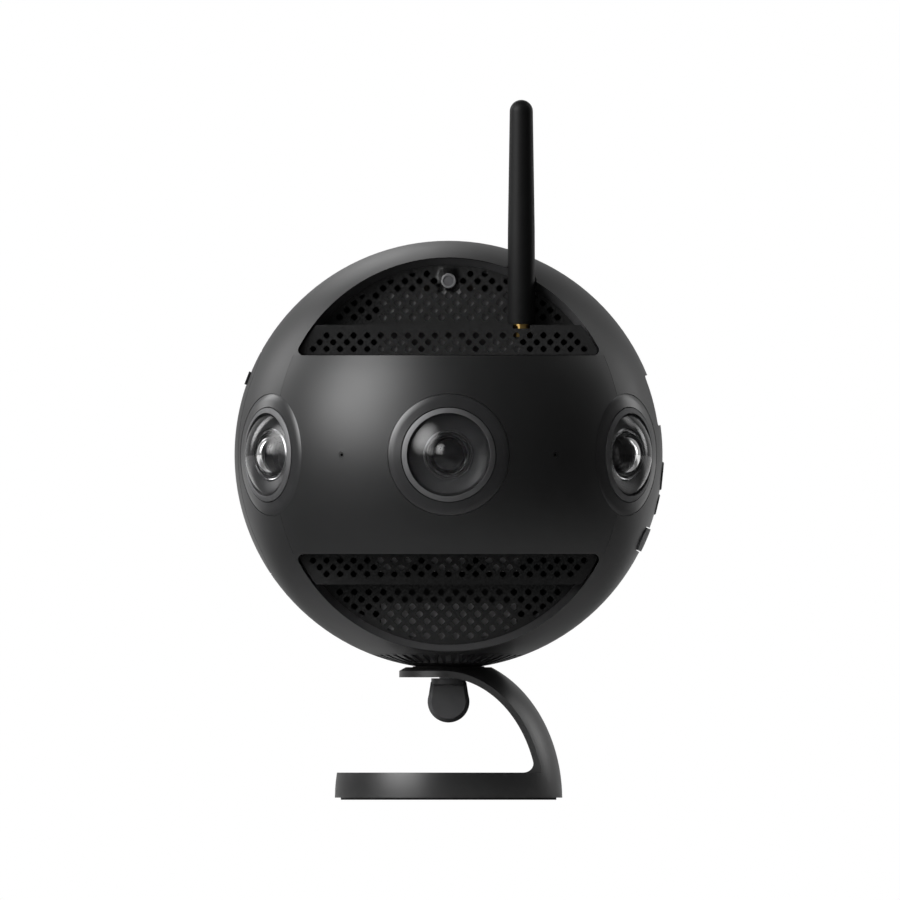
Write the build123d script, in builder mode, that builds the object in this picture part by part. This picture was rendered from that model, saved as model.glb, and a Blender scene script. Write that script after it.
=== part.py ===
from build123d import *
import os
from math import acos, asin, cos, degrees, hypot, radians, sin, sqrt

os.makedirs("parts", exist_ok=True)

# A ball camera with six lenses round its equator, on a one-armed table stand.
# Z is up, the front lens looks along -Y, the antenna and the keys are on the +X side.

# The whole ball and where it stands
ball_radius = 71.5
seat_rise = 0.85
seat_depth = ball_radius - seat_rise
stand_height = 44.6
ball_height = stand_height + seat_depth
ball_centre = Vector(0, 0, ball_height)
overrun = 2.0
seam_gap = 0.12
fit_gap = 0.2
moving_gap = 0.3

# Ball wall: the equator's room inside, and the ledges above and below it
wall = 5.5
room_radius = ball_radius - wall
room_waist_height = 12.0
room_taper = 5.5
room_end_radius = room_radius - room_taper
ledge_height = 33.2
ledge_thickness = 2.5
cover_turn = 55.0

# Grille pockets, cut from the front and the back above and below the ledges
arc_rise = 9.2
rim_inset = 14.8
rim_radius = ball_radius - rim_inset
pocket_draft = 2.4
floor_radius = rim_radius - pocket_draft
floor_reach = 24.0
draft_length = 3.5
draft_start = floor_reach + draft_length
grille_thickness = 1.6
seat_width = 1.5
corner_radius = 1.8

# Stepped grilles with diamond holes
shelf_reach = 33.8
shelf_height = 10.15
step_height = ledge_height + shelf_height
shelf_gap = 0.8
ledge_half_width = sqrt(floor_radius**2 - (step_height - arc_rise) ** 2) - fit_gap
shelf_pitch = 4.53
shelf_row_offset = 2.13
shelf_first_row = ledge_height + shelf_row_offset
shelf_margin = 3.0
shelf_rows = 3
deep_pitch = 4.85
deep_row_offset = 2.55
deep_first_row = step_height + deep_row_offset
deep_margin = 2.5
shelf_diamond = 2.3
deep_diamond = 2.4

# Lenses, six of them a sixth of a turn apart
lens_turns = (0, 60, 120, 180, 240, 300)
trim_outer = 20.3
trim_width = 4.4
trim_inner = trim_outer - trim_width
bezel_width = 1.85
bezel_outer = trim_inner - fit_gap
bezel_inner = bezel_outer - bezel_width
bezel_inset = 1.0
bezel_slope = 0.5
bezel_front = ball_radius - bezel_inset
bezel_edge = bezel_front - bezel_slope
glass_gap = 0.15
glass_radius = bezel_inner - glass_gap
glass_inset = 0.8
glass_edge = bezel_front - glass_inset
glass_bulge = 5.9
lens_depth = 5.5
holder_front = ball_radius - lens_depth
holder_inset = 1.6
holder_front_apothem = trim_outer - holder_inset
holder_wall = 2.6
holder_bore_apothem = 8.4
holder_back_apothem = holder_bore_apothem + holder_wall
holder_sides = 8
inner_glass_gap = 0.05
inner_glass_radius = holder_bore_apothem - inner_glass_gap
inner_glass_depth = 5.0
inner_glass_back = holder_front - inner_glass_depth
inner_glass_bulge = 2.0

# Chassis drum and boards
drum_depth = 27.5
drum_reach = ball_radius - drum_depth
drum_wall = 3.0
drum_clearance = 4.7
drum_half_height = ledge_height - ledge_thickness - drum_clearance
board_thickness = 1.6
board_inset = 1.0
board_reach = drum_reach - board_inset
sensor_board_side = 23.0
sensor_width = 13.0
sensor_height = 10.0
sensor_thickness = 1.2
power_board_hole = 14.0

# Heat sink under the upper grilles
sink_half_width = 23.0
sink_clearance = 4.0
sink_half_depth = floor_reach - sink_clearance
sink_base = 3.0
sink_headroom = 10.3
sink_top = arc_rise + floor_radius - sink_headroom
fin_thickness = 2.0
fin_count = 8

# Tripod mount block, bushing and slotted ring under the ball
block_half_width = 22.0
block_depth = 20.15
block_top = seat_depth - block_depth
block_channel_depth = 8.0
block_wall = 4.0
ring_radius = 26.4
ring_height = 5.35
ring_top = seat_depth - ring_height
slot_count = 40
slot_width = 1.9
slot_inner = 16.8
slot_rim = 0.8
slot_outer = ring_radius - slot_rim
slot_web = 0.6
slot_floor = ring_top + slot_web
bushing_radius = 7.0
bushing_sink = 0.15
bushing_length = block_depth - block_channel_depth - bushing_sink

# Fan
fan_side = 40.0
fan_thickness = 10.5
fan_bore = 18.6
fan_hub = 9.0
fan_hub_height = 8.0
fan_blade_tip = 17.4
fan_blade_thickness = 1.2
fan_blade_chord = 7.5
fan_blade_pitch = 38.0
fan_blades = 7
fan_spider_width = 2.4
fan_spider_thickness = 1.5
fan_pin_radius = 1.5
fan_pin_gap = 0.1
standoff_width = 5.0
standoff_offset = 16.5

# Upright baffles beside the heat sink and the fan, which part the front air from the rear air
baffle_thickness = 1.6
baffle_gap = 0.02

# Satellite receiver and status light
gps_side = 18.0
gps_board = 1.2
gps_patch = 4.0
light_drop = 5.4
light_height = arc_rise + floor_radius - light_drop
light_ring_radius = 2.5
light_radius = 1.75
light_proud = 0.4
light_length = 3.4
light_margin = 0.92
light_clear = light_ring_radius + light_margin

# Antenna on the right of the upper front ledge
antenna_inset = 17.7
antenna_x = ledge_half_width - antenna_inset
antenna_setback = 4.6
antenna_y = antenna_setback - shelf_reach
whip_length = 74.9
whip_base_radius = 4.65
whip_mid_radius = 4.5
whip_mid_share = 0.42
whip_top_radius = 3.88
whip_lift = 0.3
whip_bore = 2.73
whip_bore_depth = 9.0
socket_gap = 0.08
socket_radius = whip_bore - socket_gap
socket_length = 8.0
socket_nut_width = 5.6
socket_nut_thickness = 2.4
notch_depth = 1.2
notch_clearance = 0.2
band_notch_gap = 0.4
band_notch_radius = whip_base_radius + band_notch_gap
band_notch_base = 55.0

# Keys and display on the +X side
display_height = 18.4
display_width = 22.0
display_tall = 17.0
display_corner = 1.5
display_inset = 1.55
display_face = ball_radius - display_inset
display_glass_thickness = 1.0
display_module_margin = 1.0
display_module_thickness = 2.5
power_key_height = -7.1
power_key_radius = 4.75
shutter_key_height = -16.6
shutter_key_radius = 3.55
key_proud = 0.42
key_depth = 7.1
key_rear = ball_radius - key_depth
key_flange = 1.0
key_flange_margin = 1.0
key_edge_bevel = 0.35
key_travel = 0.5
switch_radius = 1.6
control_board_inset = 12.3
control_board_x = ball_radius - control_board_inset
control_board_half_width = 11.0
control_board_top = 22.0
control_board_bottom = -21.0
bracket_half_width = 5.0
bracket_half_height = 18.0
bracket_wall = 2.0

# Port cover and the sockets behind it
port_height = -28.5
port_cover_width = 29.4
port_cover_tall = 8.1
port_cover_corner = 3.4
port_cover_proud = 0.5
port_cover_thickness = 1.8
port_housing_width = 26.0
port_housing_tall = 5.4
port_housing_inset = 2.1
port_housing_front = ball_radius - port_housing_inset
port_housing_depth = 7.9
port_housing_back = port_housing_front - port_housing_depth
socket_wall = 0.35
usb_width = 9.0
usb_tall = 3.2
usb_offset = -7.6
hdmi_width = 11.0
hdmi_tall = 3.0
hdmi_offset = 4.4
port_socket_depth = 5.5

# Battery, its door and release tab on the -X side
door_width = 26.0
door_top = 34.4
door_bottom = -39.6
door_corner = 10.0
door_thickness = 3.0
pack_half_width = 11.0
pack_top = 17.0
pack_bottom = -29.0
bay_wall = 1.1
bay_gap = 0.19
pack_inner_x = drum_reach / cos(radians(30)) + bay_gap + bay_wall + moving_gap
pack_door_gap = 1.0
pack_outer_radius = ball_radius - door_thickness - pack_door_gap
bay_inset = 7.0
bay_outer_radius = ball_radius - bay_inset
tab_height = 25.5
tab_tall = 4.6
tab_width = 9.0
tab_corner = 1.2
tab_proud = 0.65
tab_depth = 5.5
tab_rear = ball_radius - tab_depth
tab_flange = 1.2
tab_flange_margin = 1.2
tab_room_depth = 12.5
tab_room_back = ball_radius - tab_room_depth
tab_room_top = 27.9

# Microphones, on the equator between the lenses
mic_turns = (30, 150, 210, 330)
mic_neck = 1.0
mic_bore = 0.5
mic_bore_depth = 1.5
mic_length = 5.5
mic_back = ball_radius - mic_length

# Stand: a sheet bent as a slice of an egg, on a round base
pad_proud = 0.3
plate_top = stand_height - pad_proud
plate_thickness = 3.4
plate_underside = plate_top - plate_thickness
sheet_thickness = 1.8
egg_radius = 38.0
egg_crown = 3.5
egg_height = plate_top + egg_crown
egg_inner_radius = egg_radius - sheet_thickness
egg_inner_height = egg_height - sheet_thickness
base_bottom = 0.7
base_thickness = 8.4
base_top = base_bottom + base_thickness
arm_end_radius = 16.5
arm_half_width_at_axis = 16.64
arm_flare = 0.13
arm_root_fillet = 3.0
foot_inset = 2.0
foot_radius = egg_radius - foot_inset
foot_thickness = 2.0
pad_radius = 12.0
pad_thickness = 0.9

# Thumb key under the plate
key_top = plate_underside - moving_gap
paddle_drop = 1.2
paddle_top = key_top - paddle_drop
paddle_half_top = 5.95
paddle_radius = 7.0
paddle_round_drop = 7.8
paddle_round_height = key_top - paddle_round_drop
paddle_thickness = 5.0
paddle_bevel = 1.3
collar_radius = 5.8
collar_depth = 2.0
stud_radius = 3.1
stud_root_depth = 6.6
stud_foot = key_top - stud_root_depth
stud_root_radius = 1.6
stud_reach = 6.4
stud_top = stand_height + stud_reach
stud_clearance = 0.4
stud_hole = stud_radius + stud_clearance
bushing_clearance = 0.1
bushing_bore = stud_radius + bushing_clearance
counterbore_radius = 5.0
counterbore_web = 2.0
counterbore_floor = plate_underside + counterbore_web
retainer_radius = counterbore_radius - moving_gap
retainer_thickness = 0.6
pad_rim = 0.4
pad_inner = counterbore_radius + pad_rim


def outward(turn, tilt=0):
    """Direction from the ball's centre, by its turn from the front and its tilt above the equator."""
    level = cos(radians(tilt))
    return Vector(level * sin(radians(turn)), -level * cos(radians(turn)), sin(radians(tilt)))


def radial_plane(turn, reach, tilt=0):
    """Plane square to that direction, its x axis level, at a reach from the ball's centre."""
    side = Vector(cos(radians(turn)), sin(radians(turn)), 0)
    return Plane(origin=ball_centre + outward(turn, tilt) * reach, x_dir=side, z_dir=outward(turn, tilt))


def profile_plane(turn):
    """Plane for turned profiles: x is the radius from the lens axis, y the reach from the centre."""
    up = Vector(0, 0, 1)
    return Plane(origin=ball_centre, x_dir=up, z_dir=up.cross(outward(turn)))


def lens_axis(turn):
    return Axis(ball_centre, outward(turn))


def front_plane(reach):
    """Upright plane in front of the ball's centre, x to the right and y up from the equator."""
    return Plane(origin=ball_centre + Vector(0, -reach, 0), x_dir=(1, 0, 0), z_dir=(0, -1, 0))


def level_plane(height):
    """Level plane at a height above the equator."""
    return Plane.XY.offset(ball_height + height)


def tilt_of(height):
    """Tilt above the equator of a point of the ball's surface at a height."""
    return degrees(asin(height / ball_radius))


def ball_patch(plane, width, tall, corner, inner, outer, depth):
    """Piece of a round shell, as a rounded outline cuts it out."""
    with BuildPart() as patch:
        with BuildSketch(plane):
            RectangleRounded(width, tall, corner)
        extrude(amount=depth)
        with Locations(ball_centre):
            Sphere(outer, mode=Mode.INTERSECT)
            Sphere(inner, mode=Mode.SUBTRACT)
    return patch.part


def four_ways(tool):
    """The upper front shape and its mirror images below and behind."""
    below = tool.mirror(Plane.XY.offset(ball_height))
    return [tool, below, tool.mirror(Plane.XZ), below.mirror(Plane.XZ)]


# Cutting shapes for the ball
with BuildPart() as pocket:
    with BuildSketch(level_plane(arc_rise)):
        with BuildLine():
            Polyline(
                (0, -floor_reach + grille_thickness),
                (floor_radius, -floor_reach + grille_thickness),
                (floor_radius, -floor_reach),
                (rim_radius, -draft_start),
                (rim_radius, -ball_radius - overrun),
                (0, -ball_radius - overrun),
                close=True,
            )
        make_face()
    revolve(axis=Axis((0, 0, ball_height + arc_rise), (0, 1, 0)))
    split(bisect_by=level_plane(ledge_height), keep=Keep.TOP)
    pocket_corners = pocket.edges().filter_by(Axis.Y).filter_by_position(
        Axis.Z, ball_height + ledge_height - seam_gap, ball_height + ledge_height + seam_gap
    )
    fillet(pocket_corners.sort_by(Axis.Y)[0:2], corner_radius)

with BuildPart() as throat:
    with BuildSketch(front_plane(-floor_reach + grille_thickness)):
        with Locations((0, arc_rise)):
            Circle(floor_radius - seat_width)
        with Locations((0, ledge_height - ledge_thickness)):
            Rectangle(2 * ball_radius, ball_radius, align=(Align.CENTER, Align.MIN), mode=Mode.INTERSECT)
    extrude(amount=2 * (floor_reach - grille_thickness))

with BuildPart() as antenna_notch:
    with BuildSketch(level_plane(band_notch_base)):
        with Locations((antenna_x, antenna_y)):
            Circle(band_notch_radius)
            Rectangle(2 * band_notch_radius, ball_radius, align=(Align.CENTER, Align.MAX))
    extrude(amount=ball_radius)

lens_hole_back = sqrt(room_end_radius**2 - trim_outer**2)
door_middle = (door_top + door_bottom) / 2
door_plane = Plane(
    origin=ball_centre + Vector(-pack_inner_x, 0, door_middle), x_dir=(0, -1, 0), z_dir=(-1, 0, 0)
)
door_reach = ball_radius - pack_inner_x + overrun
door_tall = door_top - door_bottom
tab_tilt = tilt_of(tab_height)
display_tilt = tilt_of(display_height)
port_tilt = tilt_of(port_height)
port_cover_outer = ball_radius + port_cover_proud
port_cover_inner = port_cover_outer - port_cover_thickness
port_plane = radial_plane(90, port_housing_back, port_tilt)

# The ball's wall in one piece, before it is parted into frame and covers
with BuildPart() as ball:
    with BuildSketch(Plane.XZ):
        with BuildLine():
            seat_radius = sqrt(ball_radius**2 - seat_depth**2)
            seat_angle = degrees(acos(seat_radius / ball_radius))
            outer = CenterArc((0, ball_height), ball_radius, -seat_angle, seat_angle + 90)
            Polyline(outer @ 1, (0, stand_height), outer @ 0)
        make_face()
    revolve()
    with BuildSketch(Plane(origin=ball_centre, x_dir=(1, 0, 0), z_dir=(0, -1, 0))):
        with BuildLine():
            room_half_height = ledge_height - ledge_thickness
            Polyline(
                (0, -room_half_height),
                (room_end_radius, -room_half_height),
                (room_radius, -room_waist_height),
                (room_radius, room_waist_height),
                (room_end_radius, room_half_height),
                (0, room_half_height),
                close=True,
            )
        make_face()
    revolve(axis=Axis.Z, mode=Mode.SUBTRACT)
    add(throat.part, mode=Mode.SUBTRACT)
    add(throat.part.mirror(Plane.XY.offset(ball_height)), mode=Mode.SUBTRACT)
    add(four_ways(pocket.part), mode=Mode.SUBTRACT)
    add(antenna_notch.part, mode=Mode.SUBTRACT)
    for turn in lens_turns:
        with BuildSketch(radial_plane(turn, lens_hole_back)):
            Circle(trim_outer + seam_gap)
        extrude(amount=ball_radius - lens_hole_back, mode=Mode.SUBTRACT)
    for turn in mic_turns:
        with BuildSketch(radial_plane(turn, room_end_radius)):
            Circle(mic_neck + fit_gap / 2)
        extrude(amount=ball_radius - room_end_radius + overrun, mode=Mode.SUBTRACT)
    # Slotted ring's seat and the bushing's way through
    with BuildSketch(Plane.XY.offset(stand_height - overrun)):
        Circle(ring_radius + seam_gap)
    extrude(amount=seat_depth - ring_top + overrun, mode=Mode.SUBTRACT)
    with BuildSketch(Plane.XY.offset(stand_height)):
        Circle(bushing_radius + fit_gap / 2)
    extrude(amount=bushing_length, mode=Mode.SUBTRACT)
    # Display, keys and ports
    with BuildSketch(radial_plane(90, display_face - display_glass_thickness, display_tilt)):
        RectangleRounded(
            display_width + 2 * fit_gap / 2, display_tall + 2 * fit_gap / 2, display_corner + fit_gap / 2
        )
    extrude(amount=ball_radius - display_face + display_glass_thickness + overrun, mode=Mode.SUBTRACT)
    with BuildSketch(radial_plane(90, room_end_radius, display_tilt)):
        Rectangle(
            display_width - 2 * display_module_margin + fit_gap,
            display_tall - 2 * display_module_margin + fit_gap,
        )
    extrude(amount=display_face - room_end_radius, mode=Mode.SUBTRACT)
    for key_height, key_radius in (
        (power_key_height, power_key_radius),
        (shutter_key_height, shutter_key_radius),
    ):
        with BuildSketch(radial_plane(90, room_end_radius, tilt_of(key_height))):
            Circle(key_radius + fit_gap)
        extrude(amount=ball_radius - room_end_radius + overrun, mode=Mode.SUBTRACT)
        with BuildSketch(radial_plane(90, room_end_radius, tilt_of(key_height))):
            Rectangle(2 * (key_radius + key_flange_margin + fit_gap), key_radius + 2 * fit_gap)
        extrude(amount=key_rear + key_flange + moving_gap - room_end_radius, mode=Mode.SUBTRACT)
    with BuildSketch(port_plane):
        Rectangle(port_housing_width + fit_gap, port_housing_tall + fit_gap)
    extrude(amount=ball_radius - port_housing_back + overrun, mode=Mode.SUBTRACT)
    add(
        ball_patch(
            port_plane,
            port_cover_width + 2 * moving_gap,
            port_cover_tall + 2 * moving_gap,
            port_cover_corner + moving_gap,
            port_cover_inner - moving_gap,
            port_cover_outer + overrun,
            ball_radius,
        ),
        mode=Mode.SUBTRACT,
    )
    # Battery door, pack and release tab
    add(
        ball_patch(
            door_plane,
            door_width + 2 * moving_gap,
            door_tall + 2 * moving_gap,
            door_corner + moving_gap,
            ball_radius - door_thickness - moving_gap,
            ball_radius + overrun,
            door_reach,
        ),
        mode=Mode.SUBTRACT,
    )
    with BuildSketch(Plane.YZ.offset(-pack_inner_x + moving_gap + bay_wall)):
        with Locations((0, ball_height + (pack_top + pack_bottom) / 2)):
            Rectangle(
                2 * (pack_half_width + bay_wall + moving_gap + fit_gap),
                pack_top - pack_bottom + 2 * (bay_wall + moving_gap + fit_gap),
            )
    extrude(amount=-ball_radius, mode=Mode.SUBTRACT)
    with BuildSketch(Plane.YZ.offset(-tab_room_back)):
        with Locations((0, ball_height + pack_top)):
            Rectangle(
                tab_width + 2 * (tab_flange_margin + moving_gap),
                tab_room_top - pack_top,
                align=(Align.CENTER, Align.MIN),
            )
    extrude(amount=-ball_radius, mode=Mode.SUBTRACT)


def cover_wedge(half_turn, height):
    """Wedge of the front that a band cover fills, up and down to a height from the equator."""
    side = 2 * ball_radius
    with BuildPart() as wedge:
        with BuildSketch(level_plane(-height)):
            Polygon(
                (0, 0),
                (side * sin(radians(half_turn)), -side * cos(radians(half_turn))),
                (-side * sin(radians(half_turn)), -side * cos(radians(half_turn))),
                align=None,
            )
        extrude(amount=2 * height)
    return wedge.part


with BuildPart() as main_shell:
    add(ball.part)
    add(cover_wedge(cover_turn, ledge_height), mode=Mode.SUBTRACT)
    add(cover_wedge(cover_turn, ledge_height).mirror(Plane.XZ), mode=Mode.SUBTRACT)
main_shell.part.label = "main_shell"
export_step(main_shell.part, "parts/main_shell.step")

seam_turn = degrees(seam_gap / ball_radius)
with BuildPart() as front_cover:
    add(ball.part)
    add(cover_wedge(cover_turn - seam_turn, ledge_height), mode=Mode.INTERSECT)
front_cover.part.label = "front_cover"
export_step(front_cover.part, "parts/front_cover.step")

with BuildPart() as rear_cover:
    add(ball.part)
    add(cover_wedge(cover_turn - seam_turn, ledge_height).mirror(Plane.XZ), mode=Mode.INTERSECT)
rear_cover.part.label = "rear_cover"
export_step(rear_cover.part, "parts/rear_cover.step")


def hole_places(count, pitch, height):
    """Centres of one row of holes, spread evenly about the middle."""
    return [((index - (count - 1) / 2) * pitch, height) for index in range(count)]


def row_count(row, height, pitch, arc_radius, margin):
    """Holes in a row: as many as its width takes, odd and even rows in turn."""
    half_width = sqrt(arc_radius**2 - (height - arc_rise) ** 2) - margin
    most = int(2 * half_width / pitch) + 1
    return most - (most + row) % 2


def stepped_grille(pierced, light_gap=0):
    """Upper front grille: a shelf strip, a ledge behind its top edge and a panel set back."""
    shelf_arc = rim_radius - shelf_gap
    deep_arc = floor_radius - fit_gap / 2
    deep_rows = int((arc_rise + deep_arc - deep_margin - deep_first_row) / (deep_pitch / 2)) + 1
    with BuildPart() as grille:
        with BuildSketch(front_plane(shelf_reach)) as grille_sketch:
            with Locations((0, arc_rise)):
                Circle(shelf_arc)
            with Locations((0, ledge_height + fit_gap)):
                Rectangle(
                    2 * rim_radius,
                    step_height - ledge_height - fit_gap,
                    align=(Align.CENTER, Align.MIN),
                    mode=Mode.INTERSECT,
                )
            fillet(grille_sketch.vertices().group_by(Axis.Y)[0], corner_radius)
            for row in range(shelf_rows if pierced else 0):
                row_height = shelf_first_row + row * shelf_pitch / 2
                count = row_count(row + 1, row_height, shelf_pitch, shelf_arc, shelf_margin)
                with Locations(*hole_places(count, shelf_pitch, row_height)):
                    RegularPolygon(shelf_diamond / 2, 4, mode=Mode.SUBTRACT)
        extrude(amount=-grille_thickness)
        with BuildSketch(front_plane(floor_reach)):
            with Locations((0, arc_rise)):
                Circle(deep_arc)
            with Locations((0, step_height - grille_thickness)):
                Rectangle(
                    2 * rim_radius, rim_radius, align=(Align.CENTER, Align.MIN), mode=Mode.INTERSECT
                )
            for row in range(deep_rows if pierced else 0):
                row_height = deep_first_row + row * deep_pitch / 2
                count = row_count(row, row_height, deep_pitch, deep_arc, deep_margin)
                places = hole_places(count, deep_pitch, row_height)
                places = [(x, y) for x, y in places if hypot(x, y - light_height) > light_gap]
                with Locations(*places):
                    RegularPolygon(deep_diamond / 2, 4, mode=Mode.SUBTRACT)
        extrude(amount=-grille_thickness)
        with BuildSketch(level_plane(step_height)):
            with Locations((0, -floor_reach)):
                Rectangle(
                    2 * ledge_half_width,
                    shelf_reach - floor_reach - grille_thickness,
                    align=(Align.CENTER, Align.MAX),
                )
        extrude(amount=-grille_thickness)
    return grille.part


with BuildPart() as front_upper_grille:
    add(stepped_grille(True, light_clear))
    with BuildSketch(front_plane(floor_reach)):
        with Locations((0, light_height)):
            Circle(light_ring_radius + fit_gap / 2)
    extrude(amount=-grille_thickness, mode=Mode.SUBTRACT)
    # Notch and hole of the antenna's socket
    with BuildSketch(level_plane(step_height)):
        with Locations((antenna_x, antenna_y)):
            Circle(socket_radius + notch_clearance)
            Rectangle(
                2 * (socket_radius + notch_clearance),
                shelf_reach,
                align=(Align.CENTER, Align.MAX),
            )
    extrude(amount=-notch_depth, mode=Mode.SUBTRACT)
    with BuildSketch(level_plane(step_height)):
        with Locations((antenna_x, antenna_y)):
            Circle(socket_radius + fit_gap / 2)
    extrude(amount=-grille_thickness, mode=Mode.SUBTRACT)
front_upper_grille.part.label = "front_upper_grille"
export_step(front_upper_grille.part, "parts/front_upper_grille.step")

with BuildPart() as front_lower_grille:
    add(stepped_grille(True).mirror(level_plane(0)))
front_lower_grille.part.label = "front_lower_grille"
export_step(front_lower_grille.part, "parts/front_lower_grille.step")

# The rear grilles are the same mouldings, their holes left to the finished look
with BuildPart() as rear_upper_grille:
    add(stepped_grille(False).mirror(Plane.XZ))
rear_upper_grille.part.label = "rear_upper_grille"
export_step(rear_upper_grille.part, "parts/rear_upper_grille.step")

with BuildPart() as rear_lower_grille:
    add(stepped_grille(False).mirror(level_plane(0)).mirror(Plane.XZ))
rear_lower_grille.part.label = "rear_lower_grille"
export_step(rear_lower_grille.part, "parts/rear_lower_grille.step")

# Trim rings, flush with the ball round each lens
trim_outer_reach = sqrt(ball_radius**2 - trim_outer**2)
trim_inner_reach = sqrt(ball_radius**2 - trim_inner**2)
with BuildPart() as lens_trim_rings:
    for turn in lens_turns:
        with BuildSketch(profile_plane(turn)):
            Polygon(
                (trim_inner, holder_front),
                (trim_outer, holder_front),
                (trim_outer, trim_outer_reach),
                (trim_inner, trim_inner_reach),
                align=None,
            )
        revolve(axis=lens_axis(turn))
lens_trim_rings.part.label = "lens_trim_rings"
export_step(lens_trim_rings.part, "parts/lens_trim_rings.step")

# Bezels that hold the front glasses
with BuildPart() as lens_bezels:
    for turn in lens_turns:
        with BuildSketch(profile_plane(turn)):
            Polygon(
                (bezel_inner, holder_front),
                (bezel_outer, holder_front),
                (bezel_outer, bezel_edge),
                (bezel_inner, bezel_front),
                align=None,
            )
        revolve(axis=lens_axis(turn))
lens_bezels.part.label = "lens_bezels"
export_step(lens_bezels.part, "parts/lens_bezels.step")


def domed_disc(radius, back, edge, bulge):
    """Profile of a glass with a flat back, a straight edge and a domed front."""
    dome_radius = (radius**2 + bulge**2) / (2 * bulge)
    half_angle = degrees(asin(radius / dome_radius))
    with BuildLine(mode=Mode.PRIVATE) as profile:
        dome = CenterArc((0, edge + bulge - dome_radius), dome_radius, 90 - half_angle, half_angle)
        if edge > back:
            Polyline(dome @ 1, (0, back), (radius, back), dome @ 0)
        else:
            Polyline(dome @ 1, (0, back), dome @ 0)
    return profile.line


with BuildPart() as lens_front_glasses:
    for turn in lens_turns:
        with BuildSketch(profile_plane(turn)):
            with BuildLine():
                add(domed_disc(glass_radius, holder_front, glass_edge, glass_bulge))
            make_face()
        revolve(axis=lens_axis(turn))
lens_front_glasses.part.label = "lens_front_glasses"
export_step(lens_front_glasses.part, "parts/lens_front_glasses.step")

with BuildPart() as lens_inner_glasses:
    for turn in lens_turns:
        with BuildSketch(profile_plane(turn)):
            with BuildLine():
                add(domed_disc(inner_glass_radius, inner_glass_back, inner_glass_back, inner_glass_bulge))
            make_face()
        revolve(axis=lens_axis(turn))
lens_inner_glasses.part.label = "lens_inner_glasses"
export_step(lens_inner_glasses.part, "parts/lens_inner_glasses.step")

# Flared eight-sided holders, from the drum's flats out to the rings and glasses
flat_side_turn = 180 / holder_sides
with BuildPart() as lens_holders:
    for turn in lens_turns:
        for reach, apothem in (
            (drum_reach, holder_back_apothem),
            (holder_front, holder_front_apothem),
        ):
            with BuildSketch(radial_plane(turn, reach)):
                RegularPolygon(apothem, holder_sides, major_radius=False, rotation=flat_side_turn)
        loft()
        with BuildSketch(radial_plane(turn, drum_reach)):
            RegularPolygon(
                holder_bore_apothem, holder_sides, major_radius=False, rotation=flat_side_turn
            )
        extrude(amount=holder_front - drum_reach, mode=Mode.SUBTRACT)
lens_holders.part.label = "lens_holders"
export_step(lens_holders.part, "parts/lens_holders.step")

# Sensor boards against the drum's flats, their sensors in its windows
sensor_reach = drum_reach - drum_wall
with BuildPart() as image_sensors:
    for turn in lens_turns:
        with BuildSketch(radial_plane(turn, sensor_reach)):
            Rectangle(sensor_width, sensor_height)
        extrude(amount=sensor_thickness)
image_sensors.part.label = "image_sensors"
export_step(image_sensors.part, "parts/image_sensors.step")

with BuildPart() as image_sensor_boards:
    for turn in lens_turns:
        with BuildSketch(radial_plane(turn, sensor_reach)):
            Rectangle(sensor_board_side, sensor_board_side)
        extrude(amount=-board_thickness)
image_sensor_boards.part.label = "image_sensor_boards"
export_step(image_sensor_boards.part, "parts/image_sensor_boards.step")

# Six-sided drum that carries the lens holders and the boards
with BuildPart() as chassis_drum:
    with BuildSketch(level_plane(-drum_half_height)):
        RegularPolygon(drum_reach, 6, major_radius=False)
        RegularPolygon(drum_reach - drum_wall, 6, major_radius=False, mode=Mode.SUBTRACT)
    extrude(amount=2 * drum_half_height)
    for turn in lens_turns:
        with BuildSketch(radial_plane(turn, sensor_reach - overrun)):
            Rectangle(sensor_width + fit_gap, sensor_height + fit_gap)
        extrude(amount=drum_reach, mode=Mode.SUBTRACT)
chassis_drum.part.label = "chassis_drum"
export_step(chassis_drum.part, "parts/chassis_drum.step")

with BuildPart() as main_board:
    with BuildSketch(level_plane(drum_half_height)):
        RegularPolygon(board_reach, 6, major_radius=False)
    extrude(amount=board_thickness)
main_board.part.label = "main_board"
export_step(main_board.part, "parts/main_board.step")

with BuildPart() as power_board:
    with BuildSketch(level_plane(-drum_half_height)):
        RegularPolygon(board_reach, 6, major_radius=False)
        Circle(power_board_hole, mode=Mode.SUBTRACT)
    extrude(amount=-board_thickness)
power_board.part.label = "power_board"
export_step(power_board.part, "parts/power_board.step")

# Heat sink on the main board, its outer fins close behind the upper grilles
sink_foot = drum_half_height + board_thickness
fin_pitch = (2 * sink_half_depth - fin_thickness) / (fin_count - 1)
with BuildPart() as upper_heat_sink:
    with BuildSketch(level_plane(sink_foot)):
        Rectangle(2 * sink_half_width, 2 * sink_half_depth)
    extrude(amount=sink_base)
    with BuildSketch(level_plane(sink_foot + sink_base)):
        with GridLocations(0, fin_pitch, 1, fin_count):
            Rectangle(2 * sink_half_width, fin_thickness)
    extrude(amount=sink_top - sink_foot - sink_base)
upper_heat_sink.part.label = "upper_heat_sink"
export_step(upper_heat_sink.part, "parts/upper_heat_sink.step")

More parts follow.
